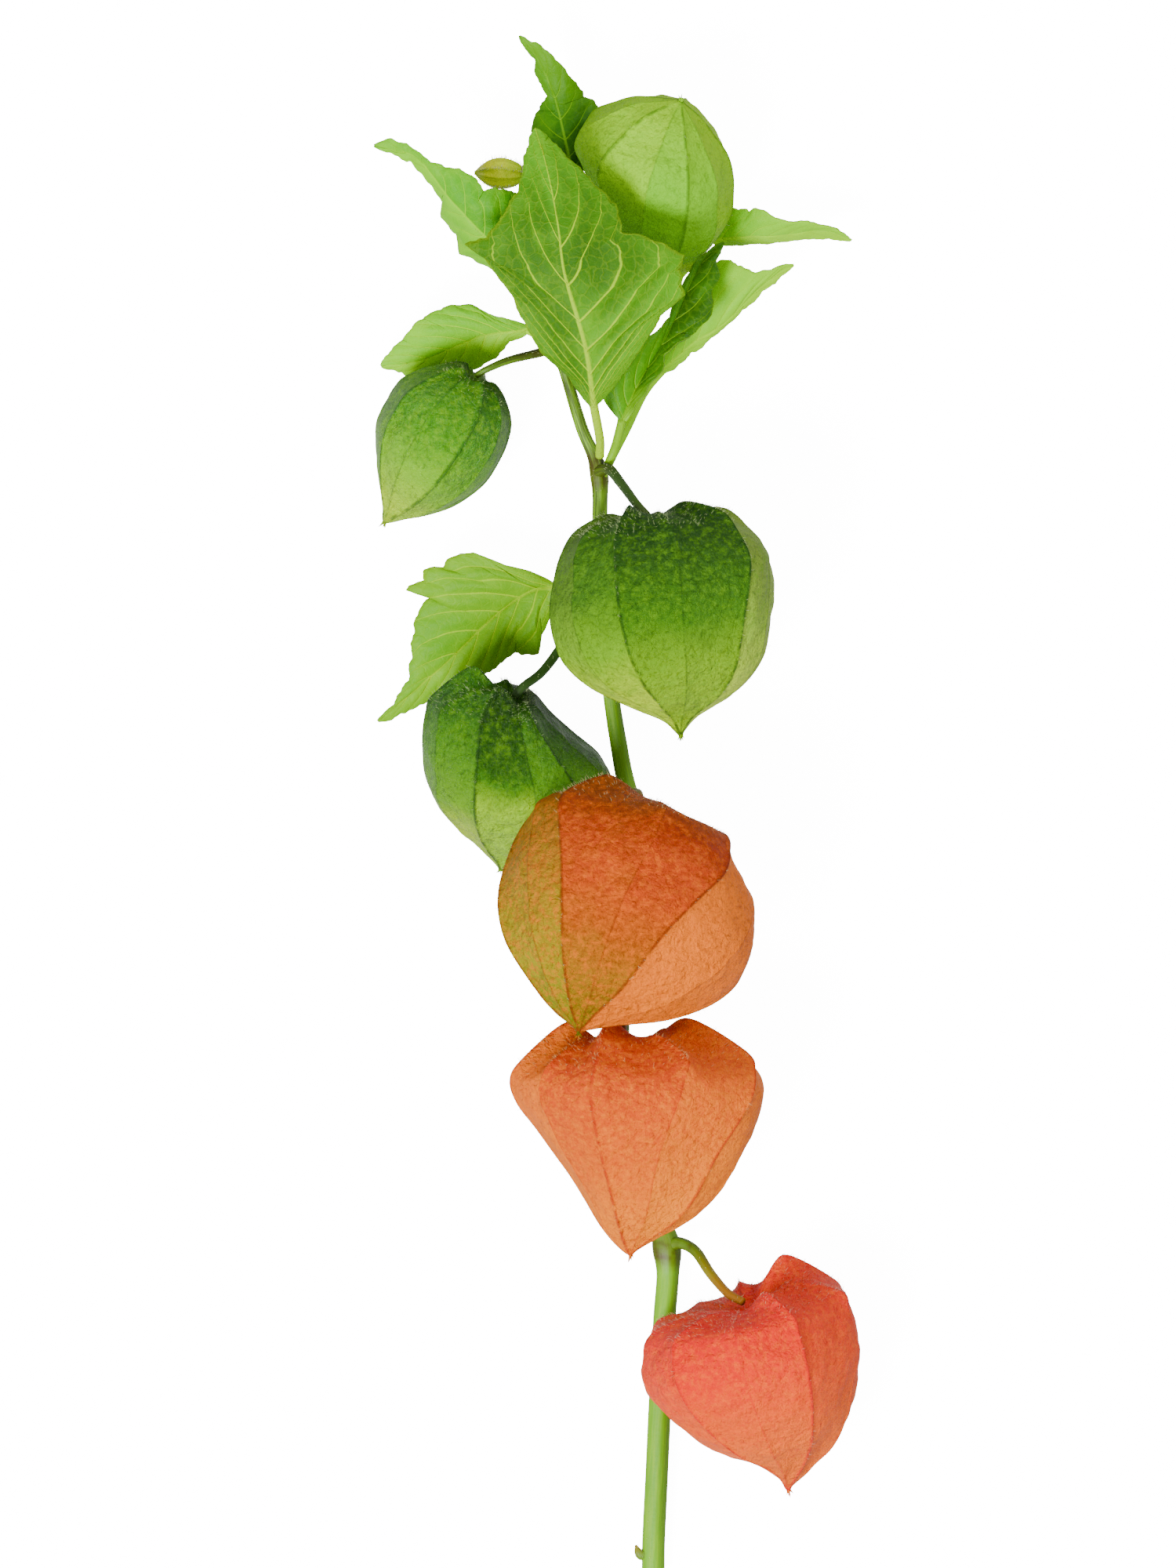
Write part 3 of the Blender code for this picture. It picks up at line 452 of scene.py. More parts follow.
HUSKS["lantern_small_green"] = dict(
    base=(-27.3, 81, 15.1), tip=(-44.3, 54, 5.6), crown=(0.05, 0.05), deep=1,
    left=(6, 9.2, 11.6, 12, 11.5, 9.8, 7.2, 4.3, 2, 0.9),
    right=(7, 10.3, 11.8, 12.3, 12.2, 11, 9, 6, 3, 1.2),
    ribs=(-4, 30, 66, 106, 138, 176), weak_first=False, fan=(10, 10), scallop=0.5, dented=0.7, hairy=0.2,
    patchy=0.3,
    face=((0, 96, 140, 26), (0.3, 108, 158, 18), (0.6, 158, 200, 36), (0.88, 204, 228, 110),
          (1, 186, 206, 90)),
    flank=((0, 70, 120, 24), (0.35, 96, 146, 30), (0.7, 130, 172, 70), (1, 190, 212, 130)),
    tones=(0.9, 0.5, 0, 0.2, 0.9, 1, 1, 1, 0.9, 0.8), pales=(0.1, 0, 0, 0, 0.12, 0.2, 0.4, 0.5, 0.5, 0.3),
    vein=(56, 100, 18), mottle=(160, 196, 76), down=(214, 228, 180), pale=(200, 218, 160),
    glow=(160, 210, 30), sheer=0.2, rough=0.26, shine=0.22, relief=0.5)
HUSKS["lantern_big_green"] = dict(
    base=(6.2, 54, 31), tip=(12.5, 13, 28), crown=(0.06, 0.05), deep=0.88,
    left=(14, 17.4, 19.5, 21, 21, 19.6, 15.5, 9, 3, 1),
    right=(14.5, 18, 21, 21.3, 20.3, 19, 16.8, 12, 4, 0.9),
    ribs=(18, 44, 80, 112, 145, 180), fan=(10, 25), nod=-0.035, scallop=0.9, dented=1, hairy=1, blotchy=0.3,
    patchy=0.14,
    face=((0, 46, 80, 14), (0.12, 62, 94, 14), (0.45, 98, 138, 14), (0.7, 158, 190, 52), (1, 176, 202, 74)),
    flank=((0, 78, 112, 34), (0.3, 100, 138, 42), (0.55, 156, 194, 60), (0.8, 214, 234, 120),
           (1, 190, 214, 84)),
    tones=(1, 0, 0, 0.8, 1, 1, 1, 1, 1, 1), pales=(0.4, 0, 0, 0, 0.1, 0.3, 0.3, 0.4, 0.5, 0.6),
    vein=(50, 84, 14), mottle=(134, 172, 40), down=(220, 232, 190), pale=(206, 222, 140),
    glow=(170, 210, 40), sheer=0.2, rough=0.46)
HUSKS["lantern_dark_green"] = dict(
    base=(-19.5, 19.2, 20), tip=(-22, -12.7, 3.6), crown=(0.2, 0.03), deep=0.82,
    left=(15.4, 16.4, 16.7, 16.4, 15.7, 13.8, 10.6, 6.5, 2.7, 0.8),
    right=(4.5, 7.6, 12.4, 17.8, 19.4, 16, 12, 7.5, 3.5, 1.3),
    ribs=(12, 45, 73, 111, 150, 185), fan=(0, 10), drop=0.1, scallop=0, dented=1.2, hairy=0.5, blotchy=0.35,
    patchy=0.3,
    face=((0, 46, 74, 16), (0.2, 68, 104, 8), (0.3, 96, 138, 12), (0.44, 176, 208, 70),
          (0.8, 184, 216, 40), (1, 180, 212, 50)),
    flank=((0, 70, 110, 14), (0.25, 108, 150, 16), (0.5, 138, 176, 30), (0.7, 196, 216, 96),
           (1, 186, 212, 80)),
    tones=(1, 1, 0, 1, 1, 1, 1, 1, 0.8, 0.4), pales=(0,) * 10,
    vein=(44, 74, 16), mottle=(130, 166, 54), down=(206, 222, 180), pale=(196, 214, 130),
    glow=(150, 200, 20), sheer=0.18, rough=0.26, shine=0.2)
HUSKS["lantern_turning"] = dict(
    base=(4.5, -2.2, 33.5), tip=(-7, -43.6, 44.5), crown=(0.13, 0.03), deep=0.8,
    left=(16.2, 20.3, 21.4, 21.8, 21.9, 20.8, 17.8, 12.5, 7, 1.5),
    right=(16.2, 20, 23.9, 25.6, 26.3, 25, 21, 14.5, 6, 1.2),
    ribs=(19, 59, 86, 122, 146, 178), fan=(38, 55), nod=-0.06, lift=-0.04, scallop=0.3, dented=1, hairy=1.3,
    face=((0, 160, 104, 6), (0.12, 186, 96, 6), (0.3, 204, 110, 0), (0.45, 212, 118, 0),
          (0.65, 186, 122, 0), (0.8, 180, 140, 16), (1, 110, 134, 20)),
    flank=((0, 156, 130, 14), (0.4, 176, 158, 16), (0.8, 180, 180, 20), (1, 116, 146, 20)),
    tones=(0, 0, 0.15, 0.75, 1, 1, 1, 1, 0.6, 0), pales=(0.95, 0, 0, 0, 0, 0.1, 0.1, 0.3, 0.6, 0.9),
    vein=(140, 80, 12), mottle=(246, 156, 40), down=(252, 238, 200), pale=(250, 166, 76),
    glow=(250, 160, 20), sheer=0.2, rough=0.48, shine=0.12, relief=0.8)
HUSKS["lantern_orange"] = dict(
    base=(1.5, -48, 28.5), tip=(2.9, -86.2, 27), crown=(0.14, 0.14), deep=0.82,
    left=(20, 21.8, 20.4, 17, 13.8, 10.8, 8.2, 5.9, 3.6, 1.5),
    right=(23, 25.5, 26.4, 25.1, 22.5, 20, 17, 12, 5.3, 1.2),
    ribs=(4, 38, 73, 110, 148, 184), fan=(-25, 35), nod=-0.06, lift=0.02, scallop=1.6, dented=0.9,
    hairy=0.6,
    face=((0, 204, 110, 0), (0.3, 222, 128, 0), (0.6, 232, 146, 0), (0.85, 244, 168, 24),
          (1, 242, 166, 24)),
    flank=((0, 234, 142, 0), (0.5, 242, 164, 0), (0.85, 250, 178, 16), (1, 246, 172, 20)),
    tones=(1, 0.6, 0, 0, 0.6, 0.6, 0.8, 1, 1, 1), pales=(0.35, 0, 0, 0, 0.4, 0.4, 0.4, 0.5, 0.5, 0.5),
    vein=(190, 90, 10), mottle=(250, 172, 50), down=(255, 224, 180), pale=(250, 172, 76),
    glow=(255, 160, 20), sheer=0.24, rough=0.5, shine=0.12)
HUSKS["lantern_red"] = dict(
    base=(24.8, -96.5, 20), tip=(33.2, -131.5, 13), crown=(0.04, 0.16), deep=0.97,
    left=(17.6, 20.4, 21.6, 21, 18.6, 15.2, 10.6, 4.4, 1.4, 0.7),
    right=(18, 18.8, 19, 18.6, 17.4, 15.6, 13.4, 9.5, 5, 1.1),
    ribs=(13, 64, 98, 132, 168), fan=(12, 0), nod=0.06, lift=0.03, drop=0.2, scallop=0.5, dented=1.2,
    hairy=0.6,
    face=((0, 224, 78, 0), (0.25, 232, 98, 0), (0.5, 238, 132, 0), (0.8, 242, 154, 0), (1, 236, 146, 0)),
    flank=((0, 228, 84, 0), (0.4, 240, 126, 6), (0.7, 246, 148, 20), (1, 242, 154, 8)),
    tones=(0.8, 0.35, 0, 0.7, 1, 1, 1, 1, 1, 0.8), pales=(0.1, 0, 0, 0, 0.2, 0.25, 0.1, 0, 0, 0.1),
    vein=(214, 60, 14), mottle=(250, 150, 60), down=(255, 210, 190), pale=(248, 160, 100),
    glow=(255, 100, 10), sheer=0.22, rough=0.42, shine=0.18)
HUSKS["lantern_bud"] = dict(
    base=(-17.8, 120.4, 15), tip=(-27, 120.8, 14.5), crown=(0.05, 0.05), deep=0.9,
    left=(1.2, 1.9, 2.4, 2.7, 2.8, 2.6, 2.2, 1.5, 0.9, 0.4),
    right=(1.2, 1.9, 2.4, 2.7, 2.8, 2.6, 2.2, 1.5, 0.9, 0.4),
    ribs=(0, 36, 72, 108, 144, 180), weak_first=False, fan=(0, 0), scallop=0.1, dented=0.15, hairy=1,
    blotchy=0.2, patchy=0.1,
    face=((0, 170, 210, 20), (0.4, 240, 250, 20), (0.75, 250, 252, 90), (1, 252, 252, 220)),
    flank=((0, 160, 200, 20), (0.4, 226, 240, 20), (0.75, 246, 250, 90), (1, 250, 252, 220)),
    tones=(0.5,) * 10, pales=(0,) * 10,
    vein=(200, 214, 60), mottle=(236, 238, 120), down=(246, 248, 226), pale=(240, 244, 210),
    glow=(240, 245, 60), sheer=0.4, rough=0.55, shine=0.1, relief=0.12)


def rib_bearings(seen):
    """The ten ribs of a husk: those that are seen, then the others spread evenly behind."""
    hidden = RIBS - len(seen)
    step = (seen[0] + 360 - seen[-1]) / (hidden + 1)
    return list(seen) + [seen[-1] + step * (k + 1) for k in range(hidden)]


def leaning(bearings, fan, station):
    """The ribs' bearings at a station: where a husk nods towards the eye, they close in on its middle."""
    def closed(share):
        return 1 - (1 - min(max(share, 0.0), FAN_END) / FAN_END) ** 2
    pull = np.radians(np.where(np.cos(bearings) > 0, fan[1], fan[0]))
    at_crest = bearings
    for _ in range(30):
        at_crest = bearings - pull * closed(FAN_TRUE) * np.cos(at_crest)
    return at_crest + pull * closed(station) * np.cos(at_crest)


def rib_lines(husk):
    """The ten ribs as rows of points from the floor of the recess to the beak, and the husk's axis."""
    base, tip = np.array(husk.base, float), np.array(husk.tip, float)
    axis = tip - base
    right = unit(np.cross((0, 0, 1), axis))
    right *= math.copysign(1, right[0])
    up = unit(np.cross(axis, right))
    up *= math.copysign(1, up[2])
    bearings = np.radians(rib_bearings(husk.ribs))
    weak = (np.arange(RIBS) + husk.weak_first) % 2
    reach = np.where(weak, WEAK_REACH, 1.0)
    side = np.cos(bearings)
    wide_right, wide_left = (reach * side).max(), -(reach * side).min()
    crest = np.where(weak, WEAK_CREST, 1.0)
    left0, right0 = husk.left[0], husk.right[0]
    rows = [(0.0, rise, left0 * share, right0 * share, RECESS_HOLLOW) for rise, share in RECESS]
    for station, left, right_half in zip(STATIONS, husk.left, husk.right):
        bulge = PANEL_BULGE - PANEL_HOLLOW * abs(station - WIDEST) ** HOLLOW_POWER
        rows.append((station, 0.0, left, right_half, bulge))
    rows.append((1.0, 0.0, BEAK_RADIUS, BEAK_RADIUS, PANEL_BULGE))
    lines = []
    for along, rise, left, right_half, _ in rows:
        turned = leaning(bearings, husk.fan, along)
        side = np.cos(turned)
        crown = (husk.crown[0] * (1 - side) + husk.crown[1] * (1 + side)) / 2
        crown = crown + husk.lift - husk.nod * np.sin(turned)
        crown = crown - husk.drop * np.maximum(-np.sin(turned), 0) * (1 - side) / 2
        wide = np.where(side > 0, right_half / wide_right, left / wide_left)
        deep = (left + right_half) / 2 * husk.deep
        centre = base + axis * (along - crown * rise * crest)[:, None]
        out = (wide * side)[:, None] * right + (deep * np.sin(turned))[:, None] * up
        lines.append(centre + reach[:, None] * out)
    return np.array(lines), np.array(rows), weak, axis, base


def finer_rows(lines, values, count):
    """More rows along the ribs, on smooth curves through the given ones; values go with them."""
    gaps = np.linalg.norm(np.diff(lines, axis=0), axis=2).mean(axis=1)
    run = np.concatenate([[0], np.cumsum(gaps)])
    given = np.arange(len(lines))
    place = np.interp(np.linspace(0, run[-1], count), run, given)
    return on_curve(lines, place), [np.interp(place, given, column) for column in values.T]


def husk_mesh(husk, seed):
    """The husk's points, ring by ring, their marks, and the way that hairs stand on them."""
    lines, rows, weak, axis, base = rib_lines(husk)
    ribs, (station, bulge) = finer_rows(lines, rows[:, [0, 4]], HUSK_ROWS)
    inside = np.interp(np.arange(HUSK_ROWS), [0, np.argmax(station > 0)], [1, 0])
    fade = np.clip((1 - station) / 0.15, 0, 1)
    columns = []
    for k in range(RIBS):
        start = k - 1 if weak[k] else k
        first, middle, last = (ribs[:, (start + j) % RIBS] for j in range(3))
        chord = np.linalg.norm(ribs[:, (k + 1) % RIBS] - ribs[:, k], axis=1)
        for step in (1 - np.cos(np.pi * np.arange(PANEL_COLUMNS) / PANEL_COLUMNS)) / 2:
            t = (step + 1) / 2 if weak[k] else step / 2
            column = first * (1 - t) * (1 - 2 * t) + middle * 4 * t * (1 - t) + last * t * (2 * t - 1)
            outward = column - base
            outward = unit(outward - axis * (outward @ axis / axis.dot(axis))[:, None])
            swell = (bulge - PANEL_BULGE) * chord * 4 * step * (1 - step)
            to_strong = (1 - step if weak[k] else step) * chord
            to_weak = (step if weak[k] else 1 - step) * chord
            ridge = 0.3 * np.exp(-(to_strong / 0.35) ** 2) + 0.12 * np.exp(-(to_weak / 0.3) ** 2)
            sunk = husk.scallop * np.exp(-(station / 0.09) ** 2) * 4 * step * (1 - step) * (1 - 0.5 * inside)
            column = column + outward * (swell + ridge * fade)[:, None] + unit(axis) * sunk[:, None]
            # The tone mark carries each panel's colour with its painted light and shade, the pale mark its
            # painted backlight.
            values = station, to_strong, to_weak, husk.tones[k], husk.pales[k], inside, 0.0
            columns.append((column, outward, [np.broadcast_to(v, HUSK_ROWS) for v in values]))
    grid, outward = (np.stack([c[part] for c in columns], axis=1).reshape(-1, 3) for part in (0, 1))
    marks = np.stack([c[2] for c in columns], axis=2).reshape(len(SKIN_MARKS), -1)
    marks = dict(zip(SKIN_MARKS, marks))
    dents = np.array([noise.noise(Vector(p) / 8 + Vector((seed, 0, 0))) * 0.6
                      + noise.noise(Vector(p) / 3.0 + Vector((0, seed, 0))) * 0.3 for p in grid])
    calm = 1 - np.exp(-(marks["strong"] / 1.6) ** 2)
    calm = calm * np.clip((1 - marks["along"]) / 0.12, 0, 1) * (1 - 0.6 * marks["inside"]) * husk.dented
    grid = grid + outward * (dents * calm)[:, None]
    grid[:, 2] = np.maximum(grid[:, 2], LOWEST)
    return grid, marks, outward - unit(axis) * 0.8 * (marks["along"] < 0.1)[:, None]


def beak_teeth(husk, seed):
    """Five fine teeth at the beak, splayed a little."""
    draw = np.random.default_rng(seed)
    base, tip = np.array(husk.base, float), np.array(husk.tip, float)
    axis = unit(tip - base)
    side = unit(np.cross(axis, (0, 0, 1)))
    over = np.cross(side, axis)
    teeth = []
    for k in range(5):
        turn = 2 * math.pi * (k + draw.uniform(0, 0.6)) / 5
        out = math.cos(turn) * side + math.sin(turn) * over
        length = draw.uniform(1.2, 2.1)
        start = tip - axis * 0.7 + out * 0.2
        bend = start + axis * length * 0.6 + out * 0.1
        route = start, bend, start + axis * length + out * draw.uniform(0.3, 0.7)
        teeth.append((smooth_curve(route, np.linspace(0, 1, 6)), (0.3, 0.28, 0.22, 0.16, 0.1, 0.03)))
    return teeth


def husk_finish(name, husk):
    """The husk's skin: its colours from crown to beak with painted shade and painted backlight, rib lines, a
    fine net of veins and soft wrinkles.
    """
    skin = Finish(name, husk.sheer, husk.glow)
    # Painted shade as well as the husk's own colour: the ramps run deep at the crown and light towards the
    # beak, and the tones make panels lighter or darker as light falls on them.
    along = skin.mark("along") + (skin.cloud(9.0) - 0.5) * husk.patchy
    blotch = (skin.cloud(4.0, 4.0) - 0.5) * 1.5
    tone = (skin.mark("tone") + blotch * husk.blotchy).rise(0.0, 1.0)
    skin.colour = tone.between(along.ramp(husk.face), along.ramp(husk.flank))
    # Painted backlight: panels that light would shine through from behind are washed pale.
    skin.lay(husk.pale, skin.mark("pale"))
    if husk.cap:
        skin.lay(husk.pale, skin.mark("along").rise(husk.cap, husk.cap * 0.6) * 0.8)
    skin.lay(husk.mottle, skin.cloud(1.6, 5.0, 0.7).rise(0.45, 0.68) * 0.45)
    grain = skin.cloud(1.1, 6.0, 0.75)
    skin.lay(husk.mottle, grain.rise(0.5, 0.64) * 0.4)
    skin.lay(husk.vein, grain.rise(0.49, 0.36) * 0.4)
    wander = skin.bent_place(3.0, 2.4)
    net_lines = skin.net(2.6, wander).rise(0.09, 0.0)
    skin.lay(husk.vein, net_lines * skin.cloud(7.0).rise(0.4, 0.65) * 0.22)
    rib_line = skin.mark("strong").rise(0.5, 0.1) * 0.75 + skin.mark("weak").rise(0.3, 0.05) * 0.45
    broken = skin.cloud(2.0).rise(0.3, 0.55)
    skin.lay(husk.vein, rib_line * broken * (1 - skin.mark("inside") * 0.5))
    specks = skin.cloud(0.7, 2.0).rise(0.62, 0.72) * skin.cloud(11.0).rise(0.4, 0.7)
    skin.lay(husk.vein, specks * 0.5)
    skin.lay(husk.down, skin.mark("hair"))
    creases = net_lines * 0.5 + skin.net(0.95, wander).rise(0.12, 0.0) * 0.25
    height = skin.cloud(2.4, 6.0, 0.66) * 3.6 + skin.cloud(6.0) * 2.0 - creases * 0.35
    gloss = husk.rough + (skin.cloud(2.2) - 0.5) * 0.25
    return skin.cover(gloss, height, husk.relief, husk.shine)


for seed, (node, given) in enumerate(HUSKS.items()):
    husk = SimpleNamespace(**{**USUAL_HUSK, **given})
    surface, marks, outward = husk_mesh(husk, seed * 7.3 + 1)
    draw = np.random.default_rng(seed + 40)
    crest = np.exp(-(marks["along"] / 0.02) ** 2) * (marks["inside"] < 0.6)
    chance = CREST_DOWN * crest + RIB_DOWN * (marks["strong"] < 0.2) * (marks["along"] < 0.9)
    picked = np.nonzero(draw.uniform(0, 1, len(surface)) < chance * husk.hairy)[0]
    points, faces = surface.tolist(), ring_faces(HUSK_ROWS, RIBS * PANEL_COLUMNS)
    marks = {name: values.tolist() for name, values in marks.items()}
    teeth = beak_teeth(husk, seed) if node != "lantern_bud" else ()
    for run, thickness in teeth:
        rings, _, _ = rings_along(run, thickness, 6)
        faces += ring_faces(len(run), 6, len(points))
        points += rings.reshape(-1, 3).tolist()
        mark_more(marks, len(run) * 6, along=0.99, **NO_RIB)
    added = add_down(points, faces, surface[picked], outward[picked], draw, HAIR_LENGTH, HAIR_RADIUS)
    mark_more(marks, added, hair=1.0, **NO_RIB)
    add_piece(node + "_skin", node, points, faces, husk_finish(node + "_skin", husk), marks)


# Leaves. Eight soft leaves, each on a short stalk of its own, lobed and toothed, with a strong midrib and
# side veins that run forward to the lobes. The front one shows its grey-green underside, where the veins
# stand out; the young ones round the tip are thin and lime green, and light comes through them.
BLADE = 0.5            # thickness
STALK = 0.85           # radius of a leaf's stalk, and half the width of the blade's foot
TIP = 0.4              # width of a leaf's tip
HALF_COLUMNS, BLADE_ROWS = 24, 230
PAIRS = (0.0, 0.07, 0.16, 0.27, 0.4, 0.54, 0.69, 0.83)

# Each leaf, in mm. root: where its stalk leaves the stem, if lower down; rib: its midrib; left, right:
# points of its edge, each after its share of the midrib; arch: how far each half bulges; veins: where the
# side veins of the left and the right half start; drift: how far forward they run; raised, pillow: how far
# they and the skin between them stand out. left_half, right_half: colours from foot to tip, the leaf's own
# green with painted light and shade; dark, quilted: colour of the swellings and of the painted shadow, and
# how much the swellings show; shadow: where the painted shadow is darkest, in metres; patch, patchy:
# colour of its patches, and how much it shows; glow: colour of the light through it.
USUAL_LEAF = dict(
    root=(), veins=(PAIRS, PAIRS), drift=0.18, raised=-0.2, pillow=0.5, patchy=0.4, quilted=0.3, rough=0.5,
    vein_width=0.4, shadow=())
LEAVES = {}
LEAVES["leaf_top"] = dict(
    stalk=((-7.2, 116.4, 14.2), (-7.4, 118, 13.2)),
    rib=((-7.8, 119.5, 12.5), (-8.7, 123, 10.8), (-11, 133.3, 9), (-12.3, 137.2, 9.6),
         (-14.8, 142.7, 11.6), (-18.4, 147, 13.5)),
    left=((0.12, -12, 123, 8.6), (0.3, -16, 129, 6), (0.45, -14.7, 133, 6), (0.58, -12.9, 135.8, 8.6),
          (0.7, -15.1, 140, 9), (0.82, -15.3, 142.7, 10.8)),
    right=((0.08, -5, 123.8, 6), (0.22, -2, 129.8, 5.6), (0.34, -3, 133.3, 7), (0.48, -6, 135.6, 8.4),
           (0.64, -9.2, 140, 11.2), (0.8, -13.3, 144.3, 12.8)), arch=0.08,
    left_half=((0, 55, 87, 5), (0.4, 80, 125, 6), (1, 134, 180, 16)),
    right_half=((0, 51, 85, 5), (0.35, 77, 119, 6), (1, 139, 182, 16)),
    dark=(55, 89, 5), patch=(126, 172, 12), patchy=0.5,
    vein=(147, 186, 44), vein_shows=0.7, vein_width=0.35, glow=(151, 199, 11), sheer=0.3)
LEAVES["leaf_upper_left"] = dict(
    stalk=((-13.2, 92.8, 15.2), (-14.4, 95, 16.5)),
    rib=((-18, 101, 18), (-24.3, 107.8, 20.5), (-31.6, 115.6, 22), (-35.2, 120.4, 22), (-38.7, 124, 21),
         (-46.1, 125.9, 17.2)),
    left=((0.1, -22, 102, 15), (0.2, -27.3, 104.5, 12), (0.28, -29.7, 105.5, 12), (0.36, -30.4, 109.2, 13),
          (0.46, -33.3, 112.5, 14), (0.55, -33, 115.2, 17), (0.66, -35, 118.3, 20),
          (0.8, -38.9, 122.8, 20.2), (0.9, -42.7, 124.5, 18.8)),
    right=((0.08, -16, 107.2, 20), (0.2, -18.8, 116.5, 22), (0.3, -21.8, 117.4, 24),
           (0.38, -25, 117.3, 24), (0.48, -27.3, 119.8, 24), (0.6, -31.6, 121.5, 23.5),
           (0.72, -35.2, 122.5, 22.5), (0.83, -39.4, 125.7, 21), (0.92, -42.8, 127.1, 19.5)), arch=0.1,
    left_half=((0, 145, 200, 12), (0.5, 164, 215, 26), (1, 153, 205, 40)),
    right_half=((0, 91, 149, 5), (0.5, 122, 180, 19), (1, 151, 204, 40)),
    dark=(107, 168, 5), quilted=0.35, patch=(184, 227, 26),
    vein=(187, 227, 75), vein_shows=0.7, glow=(184, 231, 19), sheer=0.34)
LEAVES["leaf_front"] = dict(
    stalk=((-3, 66.5, 15.8), (-3, 69.8, 19)),
    rib=((-4.2, 76.3, 24), (-5.4, 85.2, 29.5), (-7.2, 92.2, 33), (-9.8, 101.2, 35.5), (-11, 110, 36),
         (-13, 120.6, 34.5), (-15.3, 128.7, 32)),
    left=((0.06, -9, 81.8, 26), (0.13, -14, 86.2, 29), (0.19, -17, 91.2, 31), (0.25, -19.6, 97, 32),
          (0.33, -25, 104.2, 31), (0.38, -28.5, 106.6, 29.8), (0.43, -24.6, 108, 31.4),
          (0.5, -21.8, 111, 33), (0.62, -18.6, 116.7, 33.5), (0.72, -17.7, 120.4, 33),
          (0.85, -17.2, 124.2, 32.5)),
    right=((0.06, 1.8, 82.5, 27), (0.11, 4.2, 86.1, 29), (0.18, 8.5, 93.1, 30.5), (0.25, 13, 97, 31),
           (0.33, 12, 102, 32.5), (0.38, 13, 104.4, 33), (0.46, 6, 107.8, 35), (0.5, 1, 108.8, 36),
           (0.6, 0.3, 113.5, 35), (0.7, -4, 117.6, 34), (0.82, -9.4, 123, 33), (0.93, -13, 127, 32)),
    arch=0.06,
    veins=((0.01, 0.06, 0.13, 0.22, 0.33, 0.46, 0.6, 0.76),
           (0.01, 0.05, 0.12, 0.21, 0.32, 0.45, 0.58, 0.74)), drift=0.24, raised=0.35, pillow=-0.5,
    left_half=((0, 92, 135, 35), (0.35, 90, 129, 30), (0.6, 88, 131, 21), (0.8, 107, 156, 21),
               (1, 124, 172, 23)),
    right_half=((0, 111, 154, 42), (0.3, 115, 162, 42), (0.5, 84, 125, 22), (0.75, 94, 139, 16),
                (1, 124, 172, 23)),
    dark=(67, 103, 21), quilted=0.5, patch=(130, 174, 30), patchy=0.35,
    vein=(182, 207, 92), vein_shows=0.85, vein_width=0.62, glow=(144, 186, 35), sheer=0.16, rough=0.6,
    shadow=(-0.0035, 0.104, 0.03))
LEAVES["leaf_far_right"] = dict(
    stalk=((-5.2, 111, 13), (-5, 106, 8.5), (-4, 99.5, 3.6), (1, 95.5, 1.7), (7, 95.8, 1.4),
           (11, 100, 1.6), (14.6, 104, 2)),
    rib=((18.5, 108.3, 4), (24.8, 108.9, 5.5), (32.2, 109.2, 7.5), (38.2, 110, 9), (42, 109.6, 9.5),
         (45.3, 108, 9)),
    left=((0.08, 21.6, 114.3, 5.2), (0.2, 25.8, 113.7, 8.5), (0.25, 26.8, 114.1, 9.5),
          (0.36, 30.6, 112.3, 11), (0.48, 33, 111.5, 11.5), (0.54, 34, 111.2, 11),
          (0.6, 35.5, 111.6, 11.5), (0.72, 39, 111, 11), (0.85, 42, 110.4, 10.5)),
    right=((0.1, 22, 107.4, 2.4), (0.3, 26.5, 107.6, 2.2), (0.5, 32, 108, 3.4), (0.7, 36.8, 108.6, 5.6),
           (0.85, 41, 108.6, 7.6)), arch=0.06, raised=-0.15, pillow=0.35,
    left_half=((0, 155, 209, 14), (0.5, 176, 223, 33), (1, 170, 213, 51)),
    right_half=((0, 180, 221, 46), (0.5, 197, 233, 82), (1, 180, 217, 61)),
    dark=(136, 194, 12), patch=(189, 231, 54),
    vein=(203, 237, 96), vein_shows=0.6, vein_width=0.35, glow=(198, 238, 40), sheer=0.42)
LEAVES["leaf_right_back"] = dict(
    root=((-2.6, 62.2, 11.8),), stalk=((-0.6, 66.5, 9.5), (2.2, 72, 8), (5.5, 78.8, 6.5)),
    rib=((9, 83.2, 5.5), (14.5, 88.2, 5.5), (20.7, 92.2, 6.5), (26.8, 98.4, 8), (31.2, 102, 9),
         (34.2, 103.3, 9)),
    left=((0.06, 9.8, 89.2, 6), (0.12, 12.4, 94.5, 7), (0.2, 15.8, 100.5, 8), (0.3, 20, 104.1, 9),
          (0.4, 23.6, 103.3, 10), (0.52, 26.8, 101.8, 10), (0.7, 30, 102.4, 10), (0.86, 32.2, 103.3, 9.5)),
    right=((0.2, 14.8, 86.6, 4.2), (0.36, 18.4, 89.4, 4.6), (0.5, 21.4, 91.8, 5.2), (0.62, 24.2, 94.6, 6),
           (0.76, 28, 98.2, 7.4), (0.9, 31.9, 101.5, 8.6)), arch=0.06, raised=-0.15, pillow=0.4,
    left_half=((0, 136, 194, 7), (0.5, 180, 225, 26), (1, 184, 223, 68)),
    right_half=((0, 164, 209, 46), (0.5, 187, 225, 79), (1, 189, 225, 89)),
    dark=(126, 188, 5), patch=(187, 229, 19), patchy=0.45,
    vein=(197, 233, 75), vein_shows=0.6, glow=(198, 238, 19), sheer=0.42)
